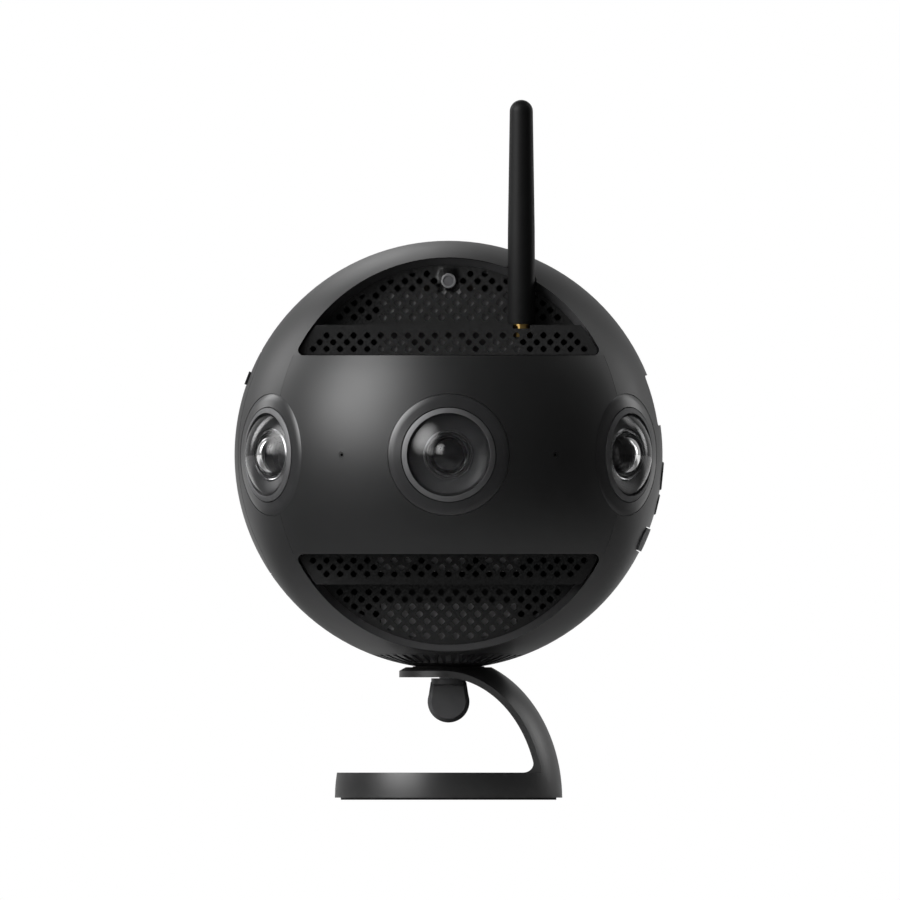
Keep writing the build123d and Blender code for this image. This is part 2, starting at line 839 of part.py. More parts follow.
with BuildPart() as air_baffles:
    for side in (1, -1):
        foot = drum_half_height + board_thickness
        with BuildSketch(front_plane(-baffle_thickness / 2)):
            with Locations((0, side * arc_rise)):
                Circle(floor_radius - seat_width - baffle_gap)
            with Locations((0, side * foot)):
                Rectangle(
                    2 * ball_radius,
                    ball_radius,
                    align=(Align.CENTER, Align.MIN if side > 0 else Align.MAX),
                    mode=Mode.INTERSECT,
                )
            if side > 0:
                with Locations((0, foot)):
                    Rectangle(
                        2 * sink_half_width,
                        sink_top - foot,
                        align=(Align.CENTER, Align.MIN),
                        mode=Mode.SUBTRACT,
                    )
                    Rectangle(
                        gps_side,
                        sink_top + gps_patch - foot,
                        align=(Align.CENTER, Align.MIN),
                        mode=Mode.SUBTRACT,
                    )
            else:
                with Locations((0, fan_thickness - block_top)):
                    Rectangle(
                        fan_side,
                        ball_radius,
                        align=(Align.CENTER, Align.MAX),
                        mode=Mode.SUBTRACT,
                    )
                with Locations((0, -block_top)):
                    Rectangle(
                        2 * block_half_width,
                        ball_radius,
                        align=(Align.CENTER, Align.MAX),
                        mode=Mode.SUBTRACT,
                    )
        extrude(amount=baffle_thickness)
air_baffles.part.label = "air_baffles"
export_step(air_baffles.part, "parts/air_baffles.step")

with BuildPart() as gps_module:
    with BuildSketch(level_plane(sink_top)):
        Rectangle(gps_side, gps_side)
    extrude(amount=gps_board)
    with BuildSketch(level_plane(sink_top + gps_board)):
        Rectangle(gps_side - gps_board, gps_side - gps_board)
    extrude(amount=gps_patch - gps_board)
gps_module.part.label = "gps_module"
export_step(gps_module.part, "parts/gps_module.step")

# Block behind the lower grilles that holds the tripod bushing, open sideways for the fan's air
with BuildPart() as tripod_mount_block:
    with BuildSketch(front_plane(-sink_half_depth)):
        with Locations((0, -arc_rise)):
            Circle(floor_radius - seat_width - fit_gap)
        with Locations((0, -block_top)):
            Rectangle(
                2 * block_half_width, ball_radius, align=(Align.CENTER, Align.MAX), mode=Mode.INTERSECT
            )
    extrude(amount=2 * sink_half_depth)
    with BuildSketch(level_plane(-block_top)):
        Rectangle(2 * ball_radius, 2 * (sink_half_depth - block_wall))
    extrude(amount=-block_channel_depth, mode=Mode.SUBTRACT)
    with BuildSketch(level_plane(-ball_radius)):
        Circle(bushing_radius)
    extrude(amount=ball_radius - block_top, mode=Mode.SUBTRACT)
tripod_mount_block.part.label = "tripod_mount_block"
export_step(tripod_mount_block.part, "parts/tripod_mount_block.step")

with BuildPart() as tripod_bushing:
    with BuildSketch(Plane.XY.offset(stand_height)):
        Circle(bushing_radius)
        Circle(bushing_bore, mode=Mode.SUBTRACT)
    extrude(amount=bushing_length)
tripod_bushing.part.label = "tripod_bushing"
export_step(tripod_bushing.part, "parts/tripod_bushing.step")

# Slotted ring that closes the ball's underside and stands on the pad
with BuildPart() as bottom_vent_ring:
    with BuildSketch(Plane.XZ):
        with BuildLine():
            ring_reach = sqrt(ball_radius**2 - ring_radius**2)
            ring_angle = degrees(acos(ring_radius / ball_radius))
            skin = CenterArc((0, ball_height), ball_radius, -seat_angle, seat_angle - ring_angle)
            Polyline(
                skin @ 1,
                (ring_radius, ball_height - ring_top),
                (bushing_radius + fit_gap / 2, ball_height - ring_top),
                (bushing_radius + fit_gap / 2, stand_height),
                skin @ 0,
            )
        make_face()
    revolve()
    with BuildSketch(level_plane(-slot_floor)):
        with PolarLocations((slot_inner + slot_outer) / 2, slot_count):
            Rectangle(slot_outer - slot_inner, slot_width)
    extrude(amount=-ball_radius + slot_floor, mode=Mode.SUBTRACT)
bottom_vent_ring.part.label = "bottom_vent_ring"
export_step(bottom_vent_ring.part, "parts/bottom_vent_ring.step")

# Fan on the mount block, blowing down into its channel
fan_base = -block_top
with BuildPart() as cooling_fan_frame:
    with BuildSketch(level_plane(fan_base)):
        Rectangle(fan_side, fan_side)
        Circle(fan_bore, mode=Mode.SUBTRACT)
    extrude(amount=fan_thickness)
    with BuildSketch(level_plane(fan_base)):
        Circle(fan_hub)
        Rectangle(2 * fan_bore + fan_spider_width, fan_spider_width)
        Rectangle(fan_spider_width, 2 * fan_bore + fan_spider_width)
    extrude(amount=fan_spider_thickness)
    with BuildSketch(level_plane(fan_base)):
        Circle(fan_pin_radius)
    extrude(amount=fan_thickness / 2)
cooling_fan_frame.part.label = "cooling_fan_frame"
export_step(cooling_fan_frame.part, "parts/cooling_fan_frame.step")

rotor_foot = fan_base + fan_spider_thickness + moving_gap
with BuildPart() as cooling_fan_rotor:
    with BuildSketch(level_plane(rotor_foot)):
        Circle(fan_hub)
    extrude(amount=fan_hub_height)
    blade_length = fan_blade_tip - fan_hub / 2
    with BuildPart(level_plane(rotor_foot + fan_hub_height / 2)):
        with PolarLocations((fan_blade_tip + fan_hub / 2) / 2, fan_blades):
            Box(blade_length, fan_blade_thickness, fan_blade_chord, rotation=(fan_blade_pitch, 0, 0))
    with BuildSketch(level_plane(rotor_foot)):
        Circle(fan_pin_radius + fan_pin_gap)
    extrude(amount=fan_thickness / 2, mode=Mode.SUBTRACT)
cooling_fan_rotor.part.label = "cooling_fan_rotor"
export_step(cooling_fan_rotor.part, "parts/cooling_fan_rotor.step")

with BuildPart() as fan_standoffs:
    with BuildSketch(level_plane(fan_base + fan_thickness)):
        with GridLocations(2 * standoff_offset, 2 * standoff_offset, 2, 2):
            Rectangle(standoff_width, standoff_width)
    extrude(amount=block_top - fan_thickness - drum_half_height - board_thickness)
fan_standoffs.part.label = "fan_standoffs"
export_step(fan_standoffs.part, "parts/fan_standoffs.step")

# Status light in the upper front grille
with BuildPart() as status_light_ring:
    with BuildSketch(front_plane(floor_reach + light_proud)):
        with Locations((0, light_height)):
            Circle(light_ring_radius)
            Circle(light_radius, mode=Mode.SUBTRACT)
    extrude(amount=-light_length)
status_light_ring.part.label = "status_light_ring"
export_step(status_light_ring.part, "parts/status_light_ring.step")

with BuildPart() as status_light_lens:
    with BuildSketch(front_plane(floor_reach + light_proud / 2)):
        with Locations((0, light_height)):
            Circle(light_radius)
    extrude(amount=-light_length)
status_light_lens.part.label = "status_light_lens"
export_step(status_light_lens.part, "parts/status_light_lens.step")

# Antenna: a tapering rod with a round end, screwed on a gold socket
antenna_axis = Axis((antenna_x, antenna_y, 0), (0, 0, 1))
whip_foot = ball_height + step_height + whip_lift
with BuildPart() as antenna_whip:
    with BuildSketch(Plane(origin=(antenna_x, antenna_y, whip_foot), x_dir=(1, 0, 0), z_dir=(0, -1, 0))):
        with BuildLine():
            tip = CenterArc((0, whip_length - whip_top_radius), whip_top_radius, 0, 90)
            Polyline(
                tip @ 1,
                (0, whip_bore_depth),
                (whip_bore, whip_bore_depth),
                (whip_bore, 0),
                (whip_base_radius, 0),
                (whip_mid_radius, whip_length * whip_mid_share),
                tip @ 0,
            )
        make_face()
    revolve(axis=antenna_axis)
antenna_whip.part.label = "antenna_whip"
export_step(antenna_whip.part, "parts/antenna_whip.step")

with BuildPart() as antenna_socket:
    with BuildSketch(level_plane(step_height - grille_thickness)):
        with Locations((antenna_x, antenna_y)):
            RegularPolygon(socket_nut_width / 2, 6, major_radius=False)
    extrude(amount=-socket_nut_thickness)
    with BuildSketch(level_plane(step_height - grille_thickness)):
        with Locations((antenna_x, antenna_y)):
            Circle(socket_radius)
    extrude(amount=grille_thickness + socket_length)
antenna_socket.part.label = "antenna_socket"
export_step(antenna_socket.part, "parts/antenna_socket.step")

# Display behind its window
with BuildPart() as display_glass:
    with BuildSketch(radial_plane(90, display_face, display_tilt)):
        RectangleRounded(display_width, display_tall, display_corner)
    extrude(amount=-display_glass_thickness)
display_glass.part.label = "display_glass"
export_step(display_glass.part, "parts/display_glass.step")

with BuildPart() as display_module:
    with BuildSketch(radial_plane(90, display_face - display_glass_thickness, display_tilt)):
        Rectangle(display_width - 2 * display_module_margin, display_tall - 2 * display_module_margin)
    extrude(amount=-display_module_thickness)
display_module.part.label = "display_module"
export_step(display_module.part, "parts/display_module.step")


def pressed_key(key_height, key_radius):
    """Round key with two ears inside the wall, which keep it from falling out."""
    tilt = tilt_of(key_height)
    with BuildPart() as key:
        with BuildSketch(radial_plane(90, key_rear, tilt)):
            Circle(key_radius)
        extrude(amount=ball_radius + key_proud - key_rear)
        chamfer(key.edges().sort_by(Axis(ball_centre, outward(90, tilt)))[-1], key_edge_bevel)
        with BuildSketch(radial_plane(90, key_rear, tilt)):
            Rectangle(2 * (key_radius + key_flange_margin), key_radius)
        extrude(amount=key_flange)
    return key.part


power_button = pressed_key(power_key_height, power_key_radius)
power_button.label = "power_button"
export_step(power_button, "parts/power_button.step")

shutter_button = pressed_key(shutter_key_height, shutter_key_radius)
shutter_button.label = "shutter_button"
export_step(shutter_button, "parts/shutter_button.step")

with BuildPart() as control_board:
    with BuildSketch(Plane.YZ.offset(control_board_x)):
        with Locations((0, ball_height + (control_board_top + control_board_bottom) / 2)):
            Rectangle(2 * control_board_half_width, control_board_top - control_board_bottom)
    extrude(amount=board_thickness)
control_board.part.label = "control_board"
export_step(control_board.part, "parts/control_board.step")

# Two small switches that the keys press
with BuildPart() as key_switches:
    for key_height in (power_key_height, shutter_key_height):
        key_tilt = tilt_of(key_height)
        switch_top = (key_rear - key_travel - fit_gap) * cos(radians(key_tilt))
        switch_z = ball_height + key_rear * sin(radians(key_tilt))
        with BuildSketch(Plane.YZ.offset(control_board_x + board_thickness)):
            with Locations((0, switch_z)):
                Circle(switch_radius)
        extrude(amount=switch_top - control_board_x - board_thickness - fit_gap)
key_switches.part.label = "key_switches"
export_step(key_switches.part, "parts/key_switches.step")

drum_corner = drum_reach / cos(radians(30))
with BuildPart() as control_bracket:
    with BuildSketch(Plane.XZ.offset(-bracket_half_width)):
        with Locations(((drum_corner + control_board_x) / 2, ball_height)):
            Rectangle(control_board_x - drum_corner, 2 * bracket_half_height)
        with Locations((control_board_x - bracket_wall, ball_height)):
            Rectangle(
                control_board_x,
                2 * (bracket_half_height - bracket_wall),
                align=(Align.MAX, Align.CENTER),
                mode=Mode.SUBTRACT,
            )
        with Locations((drum_corner, ball_height)):
            Rectangle(
                bracket_wall,
                2 * bracket_half_height,
                align=(Align.MIN, Align.CENTER),
            )
    extrude(amount=2 * bracket_half_width)
control_bracket.part.label = "control_bracket"
export_step(control_bracket.part, "parts/control_bracket.step")

# Rubber port cover, hinged at its lower edge, and what it covers
port_cover = ball_patch(
    port_plane,
    port_cover_width,
    port_cover_tall,
    port_cover_corner,
    port_cover_inner,
    port_cover_outer,
    ball_radius,
)
port_cover.label = "port_cover"
export_step(port_cover, "parts/port_cover.step")

port_depth = port_housing_front - port_housing_back
with BuildPart() as port_housing:
    with BuildSketch(port_plane):
        Rectangle(port_housing_width, port_housing_tall)
    extrude(amount=port_depth)
    with Locations(ball_centre):
        Sphere(port_cover_inner - moving_gap, mode=Mode.INTERSECT)
    with BuildSketch(port_plane.offset(port_depth - port_socket_depth)):
        with Locations((usb_offset, 0)):
            Rectangle(usb_width, usb_tall)
        with Locations((hdmi_offset, 0)):
            Rectangle(hdmi_width, hdmi_tall)
    extrude(amount=port_depth, mode=Mode.SUBTRACT)
port_housing.part.label = "port_housing"
export_step(port_housing.part, "parts/port_housing.step")


def port_shell(offset_along, width, tall):
    """Folded metal mouth of a socket, let into the housing."""
    with BuildPart() as mouth:
        with BuildSketch(port_plane.offset(port_depth - port_socket_depth)):
            with Locations((offset_along, 0)):
                Rectangle(width, tall)
                Rectangle(width - 2 * socket_wall, tall - 2 * socket_wall, mode=Mode.SUBTRACT)
        extrude(amount=port_socket_depth)
        with Locations(ball_centre):
            Sphere(port_cover_inner - moving_gap, mode=Mode.INTERSECT)
    return mouth.part


usb_socket = port_shell(usb_offset, usb_width, usb_tall)
usb_socket.label = "usb_socket"
export_step(usb_socket, "parts/usb_socket.step")

hdmi_socket = port_shell(hdmi_offset, hdmi_width, hdmi_tall)
hdmi_socket.label = "hdmi_socket"
export_step(hdmi_socket, "parts/hdmi_socket.step")

# Battery: door and pack come out together, the tab rides on the door
with BuildPart() as battery_door:
    add(
        ball_patch(
            door_plane,
            door_width,
            door_tall,
            door_corner,
            ball_radius - door_thickness,
            ball_radius,
            door_reach,
        )
    )
    with BuildSketch(radial_plane(-90, room_end_radius, tab_tilt)):
        RectangleRounded(tab_width + 2 * fit_gap, tab_tall + 2 * fit_gap, tab_corner)
    extrude(amount=ball_radius, mode=Mode.SUBTRACT)
battery_door.part.label = "battery_door"
export_step(battery_door.part, "parts/battery_door.step")

with BuildPart() as battery_pack:
    with BuildSketch(front_plane(-pack_half_width)):
        Circle(pack_outer_radius)
        with Locations((-pack_inner_x, (pack_top + pack_bottom) / 2)):
            Rectangle(
                ball_radius,
                pack_top - pack_bottom,
                align=(Align.MAX, Align.CENTER),
                mode=Mode.INTERSECT,
            )
    extrude(amount=2 * pack_half_width)
battery_pack.part.label = "battery_pack"
export_step(battery_pack.part, "parts/battery_pack.step")

with BuildPart() as battery_tab:
    with BuildSketch(radial_plane(-90, tab_rear, tab_tilt)):
        RectangleRounded(tab_width, tab_tall, tab_corner)
    extrude(amount=ball_radius + tab_proud - tab_rear)
    with BuildSketch(radial_plane(-90, tab_rear, tab_tilt)):
        Rectangle(tab_width + 2 * tab_flange_margin, tab_tall + 2 * tab_flange_margin)
    extrude(amount=tab_flange)
battery_tab.part.label = "battery_tab"
export_step(battery_tab.part, "parts/battery_tab.step")

with BuildPart() as battery_bay:
    with BuildSketch(Plane.YZ.offset(-pack_inner_x + moving_gap + bay_wall)):
        with Locations((0, ball_height + (pack_top + pack_bottom) / 2)):
            Rectangle(
                2 * (pack_half_width + moving_gap + bay_wall),
                pack_top - pack_bottom + 2 * (moving_gap + bay_wall),
            )
    extrude(amount=-ball_radius)
    with BuildSketch(Plane.YZ.offset(-pack_inner_x + moving_gap)):
        with Locations((0, ball_height + (pack_top + pack_bottom) / 2)):
            Rectangle(
                2 * (pack_half_width + moving_gap),
                pack_top - pack_bottom + 2 * moving_gap,
            )
    extrude(amount=-ball_radius, mode=Mode.SUBTRACT)
    with Locations(ball_centre):
        Sphere(bay_outer_radius, mode=Mode.INTERSECT)
battery_bay.part.label = "battery_bay"
export_step(battery_bay.part, "parts/battery_bay.step")

with BuildPart() as microphones:
    for turn in mic_turns:
        with BuildSketch(profile_plane(turn)):
            Polygon(
                (0, mic_back),
                (mic_neck, mic_back),
                (mic_neck, ball_radius - seam_gap),
                (mic_bore, ball_radius - seam_gap),
                (mic_bore, ball_radius - mic_bore_depth),
                (0, ball_radius - mic_bore_depth),
                align=None,
            )
        revolve(axis=lens_axis(turn))
microphones.part.label = "microphones"
export_step(microphones.part, "parts/microphones.step")


def egg_slice(radius, height, low, high, root_fillet=0):
    """Solid of revolution inside an egg-shaped half dome, between two heights above the floor."""
    start = degrees(asin(low / height))
    sweep = degrees(asin(high / height)) - start
    with BuildPart() as body:
        with BuildSketch(Plane.XZ):
            with BuildLine():
                flank = EllipticalCenterArc((0, 0), radius, height, start, arc_size=sweep)
                Polyline(flank @ 1, (0, high), (0, low), flank @ 0)
            make_face()
        revolve()
        if root_fillet:
            fillet(body.edges().group_by(Axis.Z)[0], root_fillet)
    return body.part


# Stand: base disc, arm and plate in one piece
with BuildPart() as stand_frame:
    add(egg_slice(egg_radius, egg_height, base_bottom, plate_top))
    add(
        egg_slice(egg_inner_radius, egg_inner_height, base_top, plate_underside, arm_root_fillet),
        mode=Mode.SUBTRACT,
    )
    with BuildSketch(Plane.XY.offset(base_top)):
        Circle(2 * egg_radius)
        Circle(arm_end_radius, mode=Mode.SUBTRACT)
        Polygon(
            (0, -arm_half_width_at_axis),
            (2 * egg_radius, -arm_half_width_at_axis - 2 * arm_flare * egg_radius),
            (2 * egg_radius, arm_half_width_at_axis + 2 * arm_flare * egg_radius),
            (0, arm_half_width_at_axis),
            align=None,
            mode=Mode.SUBTRACT,
        )
    extrude(amount=egg_height, mode=Mode.SUBTRACT)
    # Foot recess, pad recess, screw hole and counterbore
    with BuildSketch(Plane.XY.offset(base_bottom)):
        Circle(foot_radius + fit_gap)
    extrude(amount=foot_thickness - base_bottom, mode=Mode.SUBTRACT)
    with BuildSketch(Plane.XY.offset(stand_height - pad_thickness)):
        Circle(pad_radius + fit_gap)
    extrude(amount=pad_thickness, mode=Mode.SUBTRACT)
    with BuildSketch(Plane.XY.offset(counterbore_floor)):
        Circle(counterbore_radius)
    extrude(amount=stand_height - counterbore_floor, mode=Mode.SUBTRACT)
    with BuildSketch(Plane.XY.offset(plate_underside - overrun)):
        Circle(stud_hole)
    extrude(amount=stand_height - plate_underside + overrun, mode=Mode.SUBTRACT)
stand_frame.part.label = "stand_frame"
export_step(stand_frame.part, "parts/stand_frame.step")

with BuildPart() as stand_foot_pad:
    with BuildSketch(Plane.XY):
        Circle(foot_radius)
    extrude(amount=foot_thickness)
stand_foot_pad.part.label = "stand_foot_pad"
export_step(stand_foot_pad.part, "parts/stand_foot_pad.step")

with BuildPart() as stand_top_pad:
    with BuildSketch(Plane.XY.offset(stand_height - pad_thickness)):
        Circle(pad_radius)
        Circle(pad_inner, mode=Mode.SUBTRACT)
    extrude(amount=pad_thickness)
stand_top_pad.part.label = "stand_top_pad"
export_step(stand_top_pad.part, "parts/stand_top_pad.step")

# Thumb key: a bevelled paddle under a round collar, bored for the stud
with BuildPart() as thumb_key:
    with BuildSketch(Plane.XZ.offset(-paddle_thickness / 2)):
        with Locations((0, paddle_round_height)):
            Circle(paddle_radius)
        Polygon(
            (-paddle_radius, paddle_round_height),
            (paddle_radius, paddle_round_height),
            (paddle_half_top, paddle_top),
            (-paddle_half_top, paddle_top),
            align=None,
        )
    extrude(amount=paddle_thickness)
    chamfer(
        thumb_key.edges().group_by(Axis.Y)[0] + thumb_key.edges().group_by(Axis.Y)[-1], paddle_bevel
    )
    with BuildSketch(Plane.XY.offset(key_top - collar_depth)):
        Circle(collar_radius)
    extrude(amount=collar_depth)
    with BuildSketch(Plane.XY.offset(stud_foot)):
        Circle(stud_root_radius)
    extrude(amount=key_top - stud_foot, mode=Mode.SUBTRACT)
thumb_key.part.label = "thumb_key"
export_step(thumb_key.part, "parts/thumb_key.step")

# Stud with the collar that keeps it in the plate
with BuildPart() as thumb_screw_stud:
    with BuildSketch(Plane.XY.offset(stud_foot)):
        Circle(stud_root_radius)
    extrude(amount=key_top - stud_foot)
    with BuildSketch(Plane.XY.offset(key_top)):
        Circle(stud_radius)
    extrude(amount=stud_top - key_top)
    with BuildSketch(Plane.XY.offset(counterbore_floor + fit_gap)):
        Circle(retainer_radius)
    extrude(amount=retainer_thickness)
thumb_screw_stud.part.label = "thumb_screw_stud"
export_step(thumb_screw_stud.part, "parts/thumb_screw_stud.step")
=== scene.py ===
from math import asin, cos, degrees, radians, sin, sqrt

import bmesh
import bpy
import numpy as np
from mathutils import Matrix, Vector
from mathutils.geometry import delaunay_2d_cdt


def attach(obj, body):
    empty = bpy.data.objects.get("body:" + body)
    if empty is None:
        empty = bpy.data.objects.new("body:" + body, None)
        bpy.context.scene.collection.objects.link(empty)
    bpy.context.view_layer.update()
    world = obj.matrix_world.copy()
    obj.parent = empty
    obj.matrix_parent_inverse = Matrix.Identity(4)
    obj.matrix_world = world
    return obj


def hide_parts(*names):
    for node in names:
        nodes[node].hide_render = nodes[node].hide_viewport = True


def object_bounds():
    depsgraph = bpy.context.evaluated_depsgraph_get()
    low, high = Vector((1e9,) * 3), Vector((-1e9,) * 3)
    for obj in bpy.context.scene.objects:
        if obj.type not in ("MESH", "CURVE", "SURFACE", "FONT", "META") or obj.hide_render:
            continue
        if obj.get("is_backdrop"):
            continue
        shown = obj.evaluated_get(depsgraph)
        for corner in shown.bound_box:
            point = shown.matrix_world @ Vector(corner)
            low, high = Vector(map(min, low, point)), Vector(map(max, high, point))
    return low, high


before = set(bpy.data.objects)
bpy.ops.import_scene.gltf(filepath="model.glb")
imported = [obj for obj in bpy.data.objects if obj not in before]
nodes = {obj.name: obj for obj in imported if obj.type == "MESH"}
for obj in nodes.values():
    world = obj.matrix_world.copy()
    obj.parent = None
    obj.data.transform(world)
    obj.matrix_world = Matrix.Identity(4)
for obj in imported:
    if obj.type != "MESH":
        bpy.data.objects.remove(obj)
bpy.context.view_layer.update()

mm = 0.001

# Camera. A parallel view looks level at the front of the ball, as a long lens from far off
# does, so one pixel of the 900 is a third of a millimetre everywhere.
pixel = 0.33402 * mm
view_aside = 0.48 * mm
view_back = 1.2
view_height = 116.84 * mm
lens_view = bpy.data.cameras.new("photo_camera")
lens_view.type = "ORTHO"
lens_view.ortho_scale = 900 * pixel
photo_camera = bpy.data.objects.new("photo_camera", lens_view)
photo_camera.location = (view_aside, -view_back, view_height)
photo_camera.rotation_euler = (radians(90), 0, 0)
bpy.context.scene.collection.objects.link(photo_camera)
bpy.context.scene.camera = photo_camera
bpy.context.scene.view_settings.view_transform = "Standard"

# Lamps. A big soft box, brightest in its middle, hangs up on the left, and a small card stands
# in front. Strips and boxes behind lift the ball's edges off the backdrop.
ball_centre = np.array((0.0, 0.0, 115.25 * mm))
ball_radius = 71.5 * mm


def add_node(tree, kind, operation=None, **values):
    """New shader node. A keyword such as to_min gives the value of its input To Min."""
    made = tree.nodes.new("ShaderNode" + kind)
    if operation:
        made.operation = operation
    for name, value in values.items():
        made.inputs[name.replace("_", " ").title()].default_value = value
    return made


def wire(tree, *runs):
    """Links, each given as a node, its output, the node that it feeds and the input there."""
    for source, output, target, entry in runs:
        tree.links.new(source.outputs[output], target.inputs[entry])


def soft_box(name, direction, distance, size, power):
    """Oval lamp on a line from the ball's centre, turned to face it. It fades from its middle to
    its rim as three times (1 - r^2)^2, as cloth over a bulb does, which keeps its power."""
    lamp = bpy.data.lights.new(name, "AREA")
    lamp.shape = "ELLIPSE"
    lamp.size, lamp.size_y = size
    lamp.energy = power
    lamp.use_nodes = True
    tree = lamp.node_tree
    spot = add_node(tree, "NewGeometry")
    centred = add_node(tree, "VectorMath", "MULTIPLY_ADD")
    centred.inputs[1].default_value = (2, 2, 0)
    centred.inputs[2].default_value = (-1, -1, 0)
    squared = add_node(tree, "VectorMath", "DOT_PRODUCT")
    fade = add_node(tree, "MapRange", to_min=sqrt(3), to_max=0.0)
    fade_twice = add_node(tree, "Math", "MULTIPLY")
    wire(
        tree,
        (spot, "Parametric", centred, 0),
        (centred, "Vector", squared, 0),
        (centred, "Vector", squared, 1),
        (squared, "Value", fade, "Value"),
        (fade, "Result", fade_twice, 0),
        (fade, "Result", fade_twice, 1),
        (fade_twice, "Value", tree.nodes["Emission"], "Strength"),
    )
    holder = bpy.data.objects.new(name, lamp)
    way = Vector(direction).normalized()
    holder.location = Vector(ball_centre) + way * distance
    holder.rotation_euler = way.to_track_quat("Z", "Y").to_euler()
    bpy.context.scene.collection.objects.link(holder)


soft_box("key_soft_box", (-0.67, -0.46, 0.46), distance=1.1, size=(1.30, 1.50), power=15.5)
soft_box("front_card", (-0.56, -0.80, 0.12), distance=1.1, size=(0.45, 0.45), power=0.6)
soft_box("left_strip", (-0.74, 0.48, 0.44), distance=0.9, size=(0.34, 0.90), power=1.5)
soft_box("back_box", (-0.20, 0.76, 0.58), distance=1.1, size=(0.70, 0.60), power=0.95)
soft_box("right_strip", (0.80, 0.54, 0.26), distance=0.9, size=(0.30, 0.70), power=0.6)
soft_box("right_fill", (0.66, 0.36, 0.66), distance=1.1, size=(0.60, 0.60), power=0.6)

# Room. The camera sees white all round. Everything else sees a dim room that brightens towards
# the backdrop at the back.
room_light = 0.09
backdrop_light = 0.4
backdrop_start = 0.45
backdrop_full = 0.95
studio = bpy.data.worlds.new("studio")
bpy.context.scene.world = studio
studio.use_nodes = True
studio_tree = studio.node_tree
room = studio_tree.nodes["Background"]
room.inputs["Color"].default_value = (1, 1, 1, 1)
way_out = add_node(studio_tree, "TexCoord")
way_parts = add_node(studio_tree, "SeparateXYZ")
backdrop_edge = add_node(
    studio_tree,
    "MapRange",
    from_min=backdrop_start,
    from_max=backdrop_full,
    to_min=room_light,
    to_max=backdrop_light,
)
backdrop_edge.interpolation_type = "SMOOTHSTEP"
room_ray = add_node(studio_tree, "LightPath")
brightness = add_node(studio_tree, "Mix", b=1.0)
wire(
    studio_tree,
    (way_out, "Generated", way_parts, "Vector"),
    (way_parts, "Y", backdrop_edge, "Value"),
    (room_ray, "Is Camera Ray", brightness, "Factor"),
    (backdrop_edge, "Result", brightness, "A"),
    (brightness, "Result", room, "Strength"),
)

# Table. A pale top with a painted pool of light round the stand, fading outward into painted
# shade. The camera sees it in nearly one white tone, and mirrors see it swept up into the bright
# backdrop behind.
table_reach = 6.0
table_rough = 0.7
table_drop = 0.2 * mm
pool_aside = 0.05
pool_radius = 0.08
fade_radius = 0.24
painted_pool_tone = 0.78
painted_far_shade_tone = 0.12
seen_tone = 0.97
sweep_start = 0.15
sweep_full = 0.45
sweep_light = 0.7
table_corners = ((-1, -1), (1, -1), (1, 1), (-1, 1))
table_mesh = bpy.data.meshes.new("table_top")
table_mesh.from_pydata(
    [(x * table_reach, y * table_reach, -table_drop) for x, y in table_corners], [], [(0, 1, 2, 3)]
)
table_top = bpy.data.objects.new("table_top", table_mesh)
table_top.location.x = pool_aside
bpy.context.scene.collection.objects.link(table_top)
table_paint = bpy.data.materials.new("table_paint")
table_paint.use_nodes = True
table_tree = table_paint.node_tree
painted = table_tree.nodes["Principled BSDF"]
painted.inputs["Roughness"].default_value = table_rough
painted.inputs["Emission Color"].default_value = (1, 1, 1, 1)
table_place = add_node(table_tree, "TexCoord")
table_distance = add_node(table_tree, "VectorMath", "LENGTH")
# Base colour from the distance to the stand: a painted pool of light near it, painted shade further out.
painted_pool_fade = add_node(
    table_tree,
    "MapRange",
    from_min=pool_radius,
    from_max=fade_radius,
    to_min=painted_pool_tone,
    to_max=painted_far_shade_tone,
)
table_lift = add_node(table_tree, "Math", "SUBTRACT")
table_lift.inputs[0].default_value = seen_tone
seen_lift = add_node(table_tree, "Math", "MULTIPLY")
table_way = add_node(table_tree, "SeparateXYZ")
sweep_edge = add_node(
    table_tree, "MapRange", from_min=sweep_start, from_max=sweep_full, to_max=sweep_light
)
sweep_edge.interpolation_type = "SMOOTHSTEP"
mirror_ray = add_node(table_tree, "Math", "MAXIMUM")
sweep_lift = add_node(table_tree, "Math", "MULTIPLY_ADD")
table_ray = add_node(table_tree, "LightPath")
wire(
    table_tree,
    (table_place, "Object", table_distance, 0),
    (table_distance, "Value", painted_pool_fade, "Value"),
    (painted_pool_fade, "Result", painted, "Base Color"),
    (painted_pool_fade, "Result", table_lift, 1),
    (table_lift, "Value", seen_lift, 0),
    (table_ray, "Is Camera Ray", seen_lift, 1),
    (table_place, "Object", table_way, "Vector"),
    (table_way, "Y", sweep_edge, "Value"),
    (table_ray, "Is Glossy Ray", mirror_ray, 0),
    (table_ray, "Is Transmission Ray", mirror_ray, 1),
    (sweep_edge, "Result", sweep_lift, 0),
    (mirror_ray, "Value", sweep_lift, 1),
    (seen_lift, "Value", sweep_lift, 2),
    (sweep_lift, "Value", painted, "Emission Strength"),
)
table_mesh.materials.append(table_paint)
table_top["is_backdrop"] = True

# Ball shell. A die-cast magnesium frame and two band covers, painted in a fine satin
# charcoal. The walls of the pockets and openings get a lighter grey as painted light, standing in
# for the soft fill that reaches them. The covers are screwed on from inside, with a hair seam
# along the ledges.
merge_reach = 0.002 * mm
sliver_reach = 0.03 * mm
form_reach = 0.03 * mm
least_facing = 0.8
worn_angle = 40
cloud_grains = 24
cloud_dark = 0.3
cloud_light = 0.7
painted_light_start = 0.3 * mm
painted_light_full = 0.8 * mm
painted_wall_light_tone = (0.080, 0.080, 0.082, 1)


